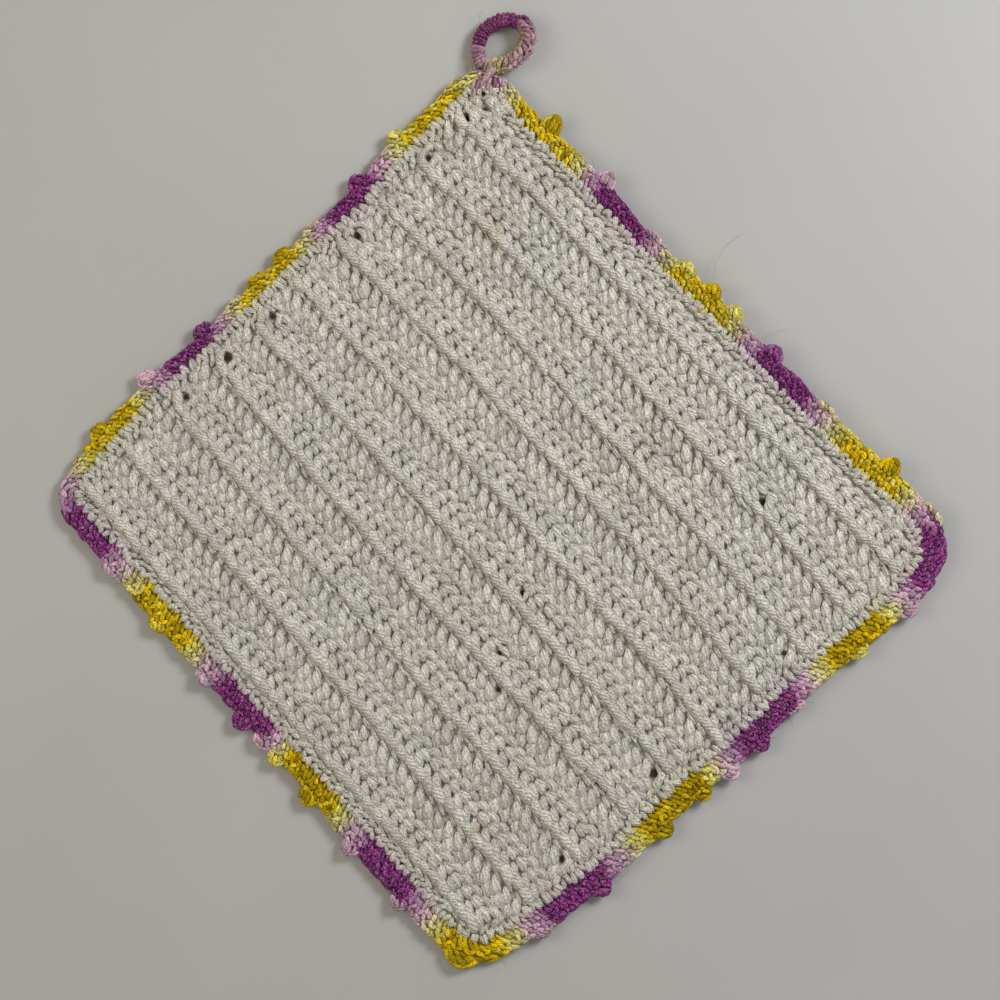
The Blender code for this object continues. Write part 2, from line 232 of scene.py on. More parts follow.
# One stitch of the edging, drawn on an edging that is 20 SMALLs wide
EDGING_STRANDS = {
    # name: (thickness for its width, twist, ((along, outwards, height, width), ...))
    "leg": (0.85, 0.8, (
        (-3.0, 4.6, 8.2, 3.0), (-1.6, 1.8, 9.8, 4.0), (-0.2, -1.4, 9.6, 3.6), (0.8, -4.6, 7.4, 2.4))),
    "next_leg": (0.85, 0.8, (
        (1.6, 4.8, 8.2, 3.0), (3.2, 2.2, 9.8, 4.2), (4.6, -0.6, 9.2, 3.6), (5.4, -3.2, 7.4, 2.4))),
    "low_bead": (0.85, 0.9, (
        (-1.4, 9.0, 8.4, 2.8), (0.2, 7.6, 10.2, 4.4), (2.0, 5.8, 10.2, 4.4), (3.4, 4.2, 8.4, 2.8))),
    "next_low_bead": (0.85, 0.9, (
        (3.4, 9.2, 8.4, 2.8), (5.0, 7.8, 10.4, 4.4), (6.8, 5.8, 10.4, 4.4), (8.0, 4.2, 8.4, 2.8))),
    "bead": (0.85, -0.9, (
        (-2.6, 9.2, 8.6, 2.8), (-1.6, 10.8, 10.6, 4.4), (-0.4, 12.4, 10.6, 4.4),
        (0.2, 14.2, 8.6, 2.8))),
    "next_bead": (0.85, 0.9, (
        (1.4, 13.8, 8.6, 2.8), (2.8, 12.2, 10.6, 4.4), (4.6, 10.6, 10.4, 4.4), (6.2, 9.6, 8.6, 2.8))),
    "chain": (0.85, 0.9, (
        (-3.2, 16.2, 7.6, 2.8), (-1.2, 16.6, 9.4, 4.2), (1.0, 15.4, 9.6, 4.2), (2.8, 13.8, 8.0, 2.8))),
    "next_chain": (0.85, 0.9, (
        (1.6, 16.6, 7.6, 2.8), (3.8, 17.0, 9.4, 4.2), (6.0, 15.8, 9.6, 4.2), (7.6, 14.0, 8.0, 2.8))),
    "rim": (0.95, 0.9, (
        (-1.2, 18.0, 5.0, 3.0), (2.4, 18.2, 6.8, 3.8), (6.0, 18.2, 6.6, 3.8), (9.6, 18.0, 5.0, 3.0))),
}
EDGING_BACK_STRANDS = {
    # name: (thickness for its width, twist, ((along, outwards, height, width), ...))
    "low_leg": (0.60, 0.8, (
        (-1.6, -2.0, 2.4, 4.0), (1.6, 4.0, 1.9, 6.4), (3.2, 10.0, 2.4, 4.4))),
    "low_leaf": (0.60, -0.8, (
        (5.8, 1.0, 2.4, 4.0), (5.6, 7.0, 1.9, 6.4), (4.4, 13.4, 2.4, 4.4))),
    "low_chain": (0.70, 0.9, (
        (-1.6, 14.6, 2.4, 4.0), (3.4, 15.6, 2.1, 6.0), (8.6, 14.6, 2.4, 4.0))),
}
EDGING_WIDTH = 20.0  # SMALLs
LIFT_CURVE = 1.5  # the edging's lift grows outwards from the cloth by this power
# The core under its stitches, painted dark as shade in the gaps between them, in SMALLs: outwards and
# height, and how many places it has
CORE_SECTION = (
    (0.0, 2.6), (0.0, 8.2), (8.0, 9.0), (15.0, 8.4), (18.4, 6.0), (18.4, 4.0), (15.0, 2.6), (8.0, 2.2),
)
CORE_PLACES = 260

# One picot, drawn with a reach of 8 SMALLs past the edging's rim
PICOT_STRANDS = {
    # name: (thickness for its width, twist, ((along, past the rim, height, width), ...))
    "left_side": (0.85, 0.9, (
        (-9.4, -4.0, 7.0, 3.4), (-8.8, 0.4, 8.6, 4.8), (-7.0, 3.8, 8.8, 4.8), (-4.2, 6.4, 8.0, 3.4))),
    "top_side": (0.85, 0.9, (
        (-5.4, 5.6, 7.8, 3.4), (-1.6, 6.8, 9.6, 4.8), (2.0, 6.6, 9.4, 4.8), (5.2, 5.0, 7.8, 3.4))),
    "right_side": (0.85, 0.9, (
        (4.4, 6.2, 7.6, 3.4), (7.4, 3.8, 8.6, 4.8), (8.8, 0.4, 8.6, 4.8), (9.2, -4.0, 7.0, 3.4))),
    "left_knot": (0.85, 0.9, (
        (-7.0, 3.2, 8.6, 3.2), (-5.4, 1.6, 10.4, 4.6), (-3.4, -0.8, 10.6, 4.6),
        (-2.0, -3.2, 9.0, 3.2))),
    "middle_knot": (0.85, 0.9, (
        (-3.4, 5.4, 8.8, 3.2), (-1.6, 3.6, 11.0, 4.8), (0.6, 1.2, 11.2, 4.8), (2.4, -1.4, 9.2, 3.2))),
    "right_knot": (0.85, 0.9, (
        (1.6, 5.0, 8.6, 3.2), (3.4, 3.2, 10.6, 4.6), (5.4, 0.8, 10.4, 4.6), (6.8, -2.0, 8.8, 3.2))),
    "low_left": (0.80, 0.9, (
        (-6.6, -3.6, 4.4, 4.4), (-5.0, 1.0, 3.6, 6.0), (-2.0, 4.6, 4.4, 4.0))),
    "low_right": (0.80, 0.9, (
        (6.6, -3.6, 4.4, 4.4), (5.0, 1.0, 3.6, 6.0), (2.0, 4.6, 4.4, 4.0))),
    "low_middle": (0.80, 0.9, (
        (0.0, -3.6, 4.2, 4.4), (0.2, 0.6, 3.4, 6.2), (0.0, 4.0, 4.2, 4.0))),
}
PICOT_REACH = 8.0  # SMALLs
PICOTS_APART = 100.0  # SMALLs between the copies of a picot before they are laid

# Each picot: where it stands along its side, how far it reaches past the edging's rim, both in
# millimetres, and its dye. Along X on the top and bottom sides, along Y on the left and right sides
FACING = 0.6  # an edge faces a side when its way out points there by this share
SIDES = {"left": (-1, 0), "bottom": (0, -1), "right": (1, 0), "top": (0, 1)}
PICOTS = {
    # side: ((place, reach, dye), ...)
    "left": (
        (67.8, 0.9, 0.2), (49.6, 2.0, 0.2), (34.2, 2.0, 1.0), (17.8, 1.2, 0.42), (7.9, 1.6, 0.0),
        (-1.2, 1.4, 0.0), (-8.6, 1.0, 0.42), (-19.4, 2.0, 1.0), (-37.3, 2.4, 0.6), (-55.0, 2.0, 0.0)),
    "bottom": (
        (-57.4, 1.2, 0.6), (-39.5, 1.6, 0.1), (-22.2, 1.8, 0.6), (-7.4, 2.5, 1.0), (-0.4, 1.8, 0.6),
        (5.5, 2.2, 0.2), (17.7, 2.4, 0.0), (33.8, 2.3, 0.6), (52.4, 1.8, 0.6), (71.0, 2.2, 0.0)),
    "right": (
        (-61.2, 1.6, 0.6), (-43.9, 2.0, 1.0), (-23.1, 2.4, 0.0), (-9.2, 1.7, 0.0), (-0.1, 2.2, 0.6),
        (9.6, 1.8, 1.0), (22.4, 1.2, 0.6), (43.1, 1.4, 0.2), (59.3, 1.8, 0.6)),
    "top": (
        (73.9, 1.3, 0.42), (58.9, 2.8, 0.0), (37.5, 1.2, 0.42), (18.3, 2.2, 0.94), (5.2, 2.0, 0.2),
        (-2.5, 2.2, 0.0), (-11.1, 1.8, 0.2), (-23.3, 1.2, 0.6), (-41.8, 2.4, 0.6), (-60.5, 3.0, 0.0)),
}

# The thread's runs of colour, 0 deep yellow to 1 purple: in millimetres along the edge, anticlockwise
# from the ring's corner
COLOUR_RUNS = (
    # (dye, ((start, end), ...))
    (0.0, ((347, 365), (410, 425))),
    (0.03, ((176, 191), (230, 246), (290, 301))),
    (0.07, ((8, 24), (64, 81), (120, 135), (462, 479), (523, 539), (578, 596))),
    (1.0, (
        (38, 51), (94, 106), (149, 160), (206, 221), (260, 275), (315, 331), (379, 396), (439, 449),
        (495, 509), (552, 567))),
    (0.64, ((604, 607.5),)),
    (0.30, ((0.6, 3),)),
)

# The ring's centre line, from its foot at the corner clockwise, from the cloth's middle: x, y,
# z and share of the cord's thickness, in millimetres
RING_LINE = (
    (-83.8, 77.8, 1.96, 0.96),
    (-87.0, 79.0, 1.96, 0.98),
    (-89.3, 82.5, 1.96, 1.00),
    (-89.4, 86.4, 2.00, 1.02),
    (-87.5, 89.8, 2.10, 1.00),
    (-84.2, 91.4, 2.40, 0.96),
    (-80.9, 90.1, 3.00, 1.00),
    (-79.3, 86.4, 3.50, 1.06),
    (-79.8, 82.5, 3.20, 1.06),
    (-81.3, 79.8, 2.50, 0.98),
)
RING_CORD = 3.55  # millimetres
RING_TURNS = 42
RING_PLACES, RING_SIDES, RING_INSET = 60, 10, 0.3  # its core, this much thinner in radius
RING_DYES = (
    # (share of the way round, dye)
    (0.0, 0.66), (0.09, 0.72), (0.13, 0.95), (0.40, 1.0), (0.50, 0.96), (0.56, 0.80), (0.64, 0.68),
    (0.82, 0.60), (0.86, 0.40), (0.95, 0.44), (1.0, 0.70),
)
OCHRE_FROM, OCHRE_TO = 0.52, 0.80  # the stretch where an older, tan thread shows inside the ring
OCHRE_DYE = 0.40

# One knotted loop on the ring's right arc, in SMALLs: along the ring, from the cord's top outwards,
# height (6 is the cord's own face), and width
LOOP_STRANDS = {
    # name: (thickness for its width, twist, ((along, outwards, height, width), ...))
    "outer": (0.9, 0.9, (
        (-1.6, 3.4, 5.8, 2.6), (0.2, 5.8, 8.2, 3.8), (2.6, 6.6, 8.2, 3.8), (4.4, 4.8, 6.0, 2.6))),
    "inner": (0.9, 0.9, (
        (0.2, -2.6, 5.8, 2.6), (1.4, -0.4, 8.4, 4.0), (3.4, 2.0, 8.4, 4.0), (5.2, 3.6, 6.0, 2.6))),
    "low": (0.9, 0.9, (
        (-1.2, 8.4, 5.6, 2.6), (1.2, 10.0, 7.6, 3.8), (3.8, 9.8, 7.4, 3.8), (5.4, 8.0, 5.6, 2.6))),
}
CORD_FACE = 6.0  # SMALLs
LOOP_PITCH = 5.4  # SMALLs
LOOPS = 13
LOOPS_FROM = 0.50  # share of the way round the ring

# The bundle at the ring's foot: each strand's dye, and its rows of x, y, z and width, in millimetres
ROOT_STRANDS = (
    # (dye, ((x, y, z, width), ...))
    (0.62, (
        (-82.6, 80.0, 3.4, 0.7), (-82.1, 78.6, 4.0, 1.0), (-81.4, 76.8, 3.9, 0.9),
        (-81.1, 75.0, 3.4, 0.6))),
    (0.66, (
        (-81.9, 80.3, 3.8, 0.7), (-81.5, 78.9, 4.4, 1.1), (-81.0, 76.8, 4.2, 0.9),
        (-80.9, 74.4, 3.4, 0.6))),
    (0.60, (
        (-81.1, 80.4, 3.9, 0.7), (-80.9, 79.1, 4.5, 1.1), (-80.6, 76.8, 4.2, 0.9),
        (-80.6, 73.4, 3.3, 0.6))),
    (0.70, (
        (-80.4, 80.0, 3.7, 0.6), (-80.4, 78.7, 4.2, 0.9), (-80.2, 76.6, 4.0, 0.8),
        (-80.1, 73.0, 3.2, 0.6))),
    (0.86, (
        (-81.5, 74.8, 2.9, 0.5), (-81.1, 73.6, 3.5, 0.8), (-80.6, 72.4, 3.4, 0.8),
        (-80.2, 71.2, 2.8, 0.5))),
    (0.62, (
        (-80.0, 76.6, 3.2, 0.6), (-79.4, 75.6, 3.6, 0.9), (-78.8, 74.6, 3.5, 0.9),
        (-78.3, 73.6, 2.8, 0.5))),
    (0.90, (
        (-79.2, 77.4, 3.0, 0.5), (-78.6, 76.8, 3.8, 0.9), (-77.9, 76.2, 3.7, 0.9),
        (-77.2, 75.7, 2.9, 0.5))),
    (0.58, (
        (-82.2, 73.4, 2.9, 0.5), (-81.9, 72.6, 3.5, 0.9), (-81.3, 71.6, 3.4, 0.9),
        (-80.9, 70.8, 2.8, 0.5))),
    (0.60, (
        (-80.9, 72.0, 3.0, 0.5), (-80.2, 71.2, 3.6, 0.9), (-79.5, 70.2, 3.5, 0.9),
        (-79.0, 69.4, 2.8, 0.5))),
)
ROOT_TWIST = 2000.0  # turns its plies' lines, for strands measured in metres

# Loose hairs: x and y of the root, length in millimetres, the way it points in degrees, its bend
# in degrees, and its dye
FRAYED = (
    (-84.4, 74.6, 3.6, 165, 30, 0.44),
    (-84.4, 74.2, 3.2, 178, -25, 0.42),
    (-84.6, 73.8, 2.6, 190, 20, 0.40),
    (-84.3, 75.0, 2.8, 150, 40, 0.46),
    (-84.6, 74.4, 3.8, 172, -12, 0.43),
    (-84.5, 73.5, 2.2, 200, 30, 0.40),
    (-84.2, 75.2, 4.6, 158, -35, 0.48),
)
LONG_HAIRS = (
    (-3.7, 80.6, 16.5, 148, -88, 0.56),
    (13.7, 80.6, 6.2, 78, -34, 0.50),
    (-91.0, 84.0, 4.6, 172, -90, 0.60),
)
TUFT = (-81.6, 64.5)  # a frayed tuft of cotton at the cloth's edge
TUFT_HAIRS = 46
HAIRS_ALONG_EDGE = 70
HAIR_ROOT, HAIR_FALL = 2.9, 1.6  # millimetres: height of a hair's root, and how far it falls
HAIR_STRANDS = ((1.0, 1.0, ((0, 0, 0, 1.0), (1, 0, 0, 1.0), (2, 0, 0, 1.0), (3, 0, 0, 0.6))),)

# ---------------------------------------------------------------- how the strands are laid

OUTLINE_STEPS = 24  # places on the smooth curve between two rows of an outline
STRAND_STEPS = 8  # the same between two rows of a strand
COPIES_APART = 10.0  # between the copies of a hair or a turn of thread before they are laid
SEED_STEP = 100003  # keeps the random draws of one piece apart from another's
DYE_STRAY = 0.035  # how much the dye differs from strand to strand
SWELL_MOST = 0.18  # the most by which a strand is thicker or thinner
RISE_SHARE, RISE_MOST = 0.4, 0.12  # a strand's stray upwards for its stray aside, and its most
EDGE_RESTLESS, ROUND_RESTLESS = 1.4, 2.1  # strays of the edging and the white round, for the cloth's
GROUND_INSET, GROUND_HEIGHT, GROUND_FACE = 0.2, 1.85, 2.1  # millimetres: rim, middle and top

# ---------------------------------------------------------------- the looks

# Turned yarns: how many plies, millimetres for one turn, and how the surface takes the light
COTTON_YARN = {"plies": 6, "lay": 5.2, "roughness": 0.34, "sheen": 0.3, "gloss": 0.9, "relief": 1.0}
THREAD = {"plies": 4, "lay": 3.0, "roughness": 0.5, "sheen": 0.02, "gloss": 0.10, "relief": 0.8}
THREAD_ON_RING = {**THREAD, "gloss": 0.15}
YARN_RELIEF = 0.3 * MM  # how high the plies and fibres stand
PLY_NOISE, PLY_STRAY = 800, 7.0  # how the plies' lines wander
FIBRE_NOISE = 2200
SPOT_RIM, SPOT_HEART = 1.3, 0.4  # where a spot begins and where it is full, for its radius
MARK_HEIGHT = 2.6  # millimetres
MARK_COLOUR = (0.62, 0.46, 0.30, 1.0)
# Painted shadow of the table, where it shows through an opening of the cloth
OPENING_SHADOW_COLOUR = (0.06, 0.05, 0.025, 1.0)
# Pale lilac painted on the purple thread where its fibres stand high: a painted highlight
PAINTED_PURPLE_HIGHLIGHT = (0.58, 0.36, 0.52, 1.0)
RING_WEAR = (0.82, 0.78, 0.68, 1.0)
# The ground cloth's colour, painted darker than the white cotton as shade in the gaps between the strands
GROUND_SHADE_STOPS = ((0.35, (0.32, 0.30, 0.25, 1.0)), (0.65, (0.54, 0.51, 0.44, 1.0)))
# The thread's colour by its dye
DYE_STOPS = (
    (0.0, (0.48, 0.33, 0.0, 1.0)),
    (0.06, (0.82, 0.57, 0.0, 1.0)),
    (0.14, (0.74, 0.64, 0.10, 1.0)),
    (0.34, (0.74, 0.68, 0.30, 1.0)),
    (0.46, (0.70, 0.58, 0.42, 1.0)),
    (0.56, (0.67, 0.47, 0.54, 1.0)),
    (0.84, (0.55, 0.29, 0.47, 1.0)),
    (0.95, (0.255, 0.024, 0.20, 1.0)),
    (1.0, (0.20, 0.011, 0.16, 1.0)),
)

# ---------------------------------------------------------------- the stage, in metres

ROOM_LIGHT = 0.32
LIGHTS = (
    # (name, place in the camera's turn, size, power, colour)
    ("window_light", (0.45, 0.33, 0.47), 0.22, 3.9, (0.965, 0.98, 1.0)),
    ("side_light", (-0.607, 0.085, 0.514), 0.4, 2.05, (1.0, 0.895, 0.68)),
    ("far_light", (-0.81, -0.81, 0.80), 0.3, 0.95, (0.93, 0.96, 1.0)),
)
CAMERA_TURN = 46  # degrees
CAMERA_MIDDLE = (-2.5, 5.0, 2.0)  # millimetres from the cloth's middle
CAMERA_LENS, CAMERA_SENSOR = 85, 36  # millimetres
CAMERA_VIEW = 0.250  # the width that it sees

# ---------------------------------------------------------------- what a user would change


class PotHolderSettings(bpy.types.PropertyGroup):
    """The sizes and colours that a user would change"""

    yarn_wander: bpy.props.FloatProperty(
        name="Yarn wander", description="How far a strand strays from its place", default=0.12 * MM,
        min=0.0, unit="LENGTH")
    stitch_swell: bpy.props.FloatProperty(
        name="Stitch swell", description="How much the strands differ in thickness", default=0.08,
        min=0.0, max=0.5, subtype="FACTOR")
    strand_turn: bpy.props.FloatProperty(
        name="Strand turn", description="How far a strand lies askew from its neighbours", default=0.09,
        min=0.0, subtype="ANGLE")
    ground_thick: bpy.props.FloatProperty(
        name="Ground thickness", description="Thickness of the yarn hidden between the two faces",
        default=0.5 * MM, min=0.1 * MM, unit="LENGTH")
    cotton_colour: bpy.props.FloatVectorProperty(
        name="Cotton", description="Colour of the white cotton", subtype="COLOR", size=4,
        default=(0.555, 0.526, 0.46, 1.0), min=0.0, max=1.0)
    floor_colour: bpy.props.FloatVectorProperty(
        name="Table", description="Colour of the pale table", subtype="COLOR", size=4,
        default=(0.42, 0.414, 0.40, 1.0), min=0.0, max=1.0)


def settings():
    return bpy.context.scene.pot_holder


# ---------------------------------------------------------------- places on the cloth


def spline_value(a, b, c, d, share):
    """The value between b and c on the smooth curve through all four."""
    rise = 2 * a - 5 * b + 4 * c - d
    bend = 3 * b - a - 3 * c + d
    return 0.5 * (2 * b + (c - a) * share + rise * share**2 + bend * share**3)


def smooth_rows(rows, steps, closed):
    """Rows of numbers, resampled on the smooth curve through them."""
    found = []
    last = len(rows) - 1
    for i in range(len(rows) if closed else last):
        picks = [i - 1, i, i + 1, i + 2]
        if closed:
            four = [rows[p % len(rows)] for p in picks]
        else:
            four = [rows[min(max(p, 0), last)] for p in picks]
        for step in range(steps):
            found.append([spline_value(*column, step / steps) for column in zip(*four)])
    if not closed:
        found.append(list(rows[last]))
    return found


class Edge:
    """The white cloth's outline: places close together, with the way out of the cloth at each."""

    def __init__(self):
        rows = smooth_rows(OUTLINE, OUTLINE_STEPS, closed=True)
        self.places = []
        self.tree = kdtree.KDTree(len(rows))
        gone = 0.0
        for i, (x, y, width, lift, depth) in enumerate(rows):
            here = Vector((x, y))
            after = Vector(rows[(i + 1) % len(rows)][:2])
            along = (after - Vector(rows[i - 1][:2])).normalized()
            out = Vector((along.y, -along.x))
            self.places.append((here, out, gone, width, max(0.0, lift), depth))
            self.tree.insert((x, y, 0.0), i)
            gone += (after - here).length
        self.length = gone
        self.tree.balance()

    def depth_inside(self, x, y):
        """How far inside the edge this point is, and how deep the white round reaches there."""
        _, i, _ = self.tree.find((x, y, 0.0))
        here, out, _, _, _, depth = self.places[i]
        return (here - Vector((x, y))).dot(out), depth

    def at(self, gone):
        """The edge's place, way out, width, lift and round at this distance along it."""
        gone %= self.length
        low, high = 0, len(self.places)
        while high - low > 1:
            middle = (low + high) // 2
            if self.places[middle][2] <= gone:
                low = middle
            else:
                high = middle
        here, out, start, width, lift, depth = self.places[low]
        after = self.places[(low + 1) % len(self.places)]
        end = after[2] if low + 1 < len(self.places) else self.length
        share = (gone - start) / (end - start)
        return (here.lerp(after[0], share), out.lerp(after[1], share).normalized(),
                width + (after[3] - width) * share, lift + (after[4] - lift) * share,
                depth + (after[5] - depth) * share)


EDGE = Edge()


def edge_place(side, where):
    """The distance along the edge of this place on a side."""
    out = Vector(SIDES[side])
    facing = [place for place in EDGE.places if place[1].dot(out) > FACING]
    axis = 1 if out.x else 0
    return min(facing, key=lambda place: abs(place[0][axis] - where))[2]


DYE_ENDS = sorted((end, dye) for dye, runs in COLOUR_RUNS for run in runs for end in run)


def dye_at(gone):
    """The thread's colour at this distance along the edge: 0 is yellow and 1 is purple."""
    gone %= EDGE.length
    ahead = next((i for i, (end, _) in enumerate(DYE_ENDS) if end > gone), 0)
    start, one = DYE_ENDS[ahead - 1]
    end, other = DYE_ENDS[ahead]
    return one + (other - one) * ((gone - start) % EDGE.length) / ((end - start) % EDGE.length)


def beside_edge(gone, away, height):
    """x, y and z beside the white cloth: away counts in the edging's width, outwards."""
    here, out, width, lift, _ = EDGE.at(gone)
    reach = away * SMALL * (width / (EDGING_WIDTH * SMALL) if away > 0 else 1.0)
    share = max(0.0, away / EDGING_WIDTH)
    return here.x + out.x * reach, here.y + out.y * reach, height * SMALL + lift * share**LIFT_CURVE


def within_edge(gone, away, height):
    """x, y and z in the white round: away counts in its depth, from the edge outwards."""
    here, out, _, _, depth = EDGE.at(gone)
    reach = away * SMALL * (depth / ROUND_DEPTH if away < 0 else 1.0)
    return here.x + out.x * reach, here.y + out.y * reach, height * SMALL


def through_stations(stations, values, at):
    """The value here of the smooth line through three stations."""
    found = 0.0
    for i, value in enumerate(values):
        weight = 1.0
        for j, other in enumerate(stations):
            if j != i:
                weight *= (at - other) / (stations[i] - other)
        found += weight * value
    return found


def on_cloth(rib, stitch, down):
    """x and y, from the cloth's middle, of a stitch number and a share of the way to the next rib."""
    x = through_stations(STITCH_STATIONS, RIBS[rib][3:], stitch)
    above = through_stations(RIB_STATIONS, RIBS[rib][:3], x)
    below = through_stations(RIB_STATIONS, RIBS[rib + 1][:3], x)
    return x, above * (1 - down) + below * down


def part_strand(points):
    """Bows a strand's points aside where it would cross an opening of the cloth."""
    tip, end = points[-2].xy, points[-1].xy
    middle = (tip + end) / 2
    for hole_x, hole_y, radius in HOLES:
        hole = Vector((hole_x, hole_y))
        if (middle - hole).length > HOLE_REACH:
            continue
        ahead = (end - tip).normalized()
        side = Vector((-ahead.y, ahead.x))
        offset = (middle - hole).dot(side)
        half = max(abs((point.xy - middle).dot(side)) for point in points)
        if abs(offset) < radius + half:
            push = math.copysign(radius + half - abs(offset), offset)
            for point in points:
                near = max(0.0, 1 - ((point.xy - hole).dot(ahead) / (radius + HOLE_RIM)) ** 2)
                point.xy += side * push * near


def in_frame(x, y, z):
    """From the cloth's own middle, in millimetres, to the pot holder's frame."""
    return (x + CLOTH_MIDDLE[0]) * MM, (y + CLOTH_MIDDLE[1]) * MM, z * MM


# ---------------------------------------------------------------- strands of yarn


def start_piece(name):
    """An empty mesh object of this name, alone in the selection."""
    bpy.ops.object.select_all(action="DESELECT")
    piece = bpy.data.objects.new(name, bpy.data.meshes.new(name))
    bpy.context.scene.collection.objects.link(piece)
    bpy.context.view_layer.objects.active = piece
    piece.select_set(True)
    return piece


def close_piece(piece, mesh):
    """Turns the faces outwards and puts the mesh in the piece."""
    bmesh.ops.recalc_face_normals(mesh, faces=mesh.faces[:])
    mesh.to_mesh(piece.data)
    mesh.free()


def add_strand(mesh, uv, rows, thick, twist, sides, rings):
    """A closed strand along rows of (x, y, z, width), flattened to this thickness for its width.

    Its UV goes round the strand in U, and along it in V by its length times its twist."""
    fine = smooth_rows(rows, STRAND_STEPS, closed=False)
    walked = [0.0]
    for one, other in zip(fine, fine[1:]):
        walked.append(walked[-1] + math.dist(one[:3], other[:3]))
    picked = []
    for ring in range(rings):
        target = walked[-1] * (1 - math.cos(math.pi * (ring + 0.5) / rings)) / 2
        picked.append(min(range(len(fine)), key=lambda i: abs(walked[i] - target)))
    circles = []
    for pick in picked:
        before = Vector(fine[max(pick - 1, 0)][:3])
        after = Vector(fine[min(pick + 1, len(fine) - 1)][:3])
        ahead = (after - before).normalized()
        side = Vector((0, 0, 1)).cross(ahead).normalized()
        top = ahead.cross(side)
        x, y, z, width = fine[pick]
        circle = []
        for turn in range(sides):
            angle = math.tau * turn / sides
            reach = side * math.cos(angle) * width / 2
            reach += top * math.sin(angle) * width * thick / 2
            circle.append(mesh.verts.new(Vector((x, y, z)) + reach))
        circles.append(circle)
    tips = [mesh.verts.new(fine[0][:3]), mesh.verts.new(fine[-1][:3])]
    for ring in range(rings - 1):
        for turn in range(sides):
            corners = ((ring, turn), (ring, turn + 1), (ring + 1, turn + 1), (ring + 1, turn))
            face = mesh.faces.new([circles[r][t % sides] for r, t in corners])
            for loop, (r, t) in zip(face.loops, corners):
                loop[uv].uv = (t / sides, walked[picked[r]] * twist)
    for tip, circle, pick, length in ((tips[0], circles[0], picked[0], 0.0),
                                      (tips[1], circles[-1], picked[-1], walked[-1])):
        for turn in range(sides):
            pair = (turn + 1, turn) if tip is tips[0] else (turn, turn + 1)
            face = mesh.faces.new((circle[pair[0] % sides], circle[pair[1] % sides], tip))
            for loop, (u, v) in zip(face.loops, ((pair[0] / sides, walked[pick]),
                                                 (pair[1] / sides, walked[pick]),
                                                 ((turn + 0.5) / sides, length))):
                loop[uv].uv = (u, v * twist)


def model_strands(piece, strands, sides, rings):
    """Models one stitch of these strands in the piece; returns how many points each strand has."""
    mesh = bmesh.new()
    uv = mesh.loops.layers.uv.new("yarn")
    for thick, twist, rows in strands:
        add_strand(mesh, uv, rows, thick, twist, sides, rings)
    close_piece(piece, mesh)
    return sides * rings + 2


def repeat_piece(piece, counts_and_steps):
    """Copies the one stitch in rows, with applied arrays, and gives the places of all its points."""
    for count, step in counts_and_steps:
        array = piece.modifiers.new("Rows", "ARRAY")
        array.count = count
        array.use_relative_offset = False
        array.use_constant_offset = True
        array.constant_offset_displace = step
        bpy.ops.object.modifier_apply(modifier=array.name)
    return [vertex.co.copy() for vertex in piece.data.vertices]


def dress_piece(piece, tones, dyes, material, gone=()):
    """Gives the piece its tones and dyes, drops the points that are gone, and finishes it."""
    for name, values in (("yarn_tone", tones), ("dye", dyes)):
        layer = piece.data.attributes.new(name, "FLOAT", "POINT")
        layer.data.foreach_set("value", values)
    mesh = bmesh.new()
    mesh.from_mesh(piece.data)
    mesh.verts.ensure_lookup_table()
    bmesh.ops.delete(mesh, geom=[mesh.verts[i] for i in gone], context="VERTS")
    mesh.to_mesh(piece.data)
    mesh.free()
    piece.data.shade_smooth()
    piece.data.materials.clear()
    piece.data.materials.append(material)
    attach(piece, "root")


def lay_strands(piece, points, size, find_place, material, slot, seed, restless=1.0):
    """Moves every copied strand to its place, a little astray, and drops those that have none.

    find_place(number, centre) gives None, or how to move one point and the strand's dye."""
    wander = settings().yarn_wander / MM * restless
    swell = settings().stitch_swell
    moved, tones, dyes, gone = [], [], [], []
    for first in range(0, len(points), size):
        strand = first // size
        own = points[first:first + size]
        centre = sum(own, Vector()) / size
        draw = random.Random(seed * SEED_STEP + strand)
        shift_x, shift_y, shift_z, grown, turned = (draw.gauss(0, 1) for _ in range(5))
        tone, stray = draw.random(), draw.gauss(0, DYE_STRAY)
        found = find_place(strand, centre)
        if found is None:
            gone.extend(range(first, first + size))
            moved.extend([0.0] * 3 * size)
            tones.extend([0.0] * size)
            dyes.extend([0.0] * size)
            continue
        move, dye = found
        growth = 1 + max(-SWELL_MOST, min(SWELL_MOST, grown * swell))
        turn = Matrix.Rotation(turned * settings().strand_turn * restless, 3, "Z") * growth
        rise = max(-RISE_MOST, min(RISE_MOST, shift_z * wander * RISE_SHARE))
        strays = Vector((shift_x * wander, shift_y * wander, rise))
        laid = [Vector(move(centre + turn @ (point - centre))) + strays for point in own]
        if slot == "white_cotton":
            part_strand(laid)
        for point in laid:
            moved.extend(in_frame(*point))
        tones.extend([tone] * size)
        dyes.extend([min(1.0, max(0.0, dye + stray))] * size)
    piece.data.vertices.foreach_set("co", moved)
    dress_piece(piece, tones, dyes, material, gone)


# ---------------------------------------------------------------- materials


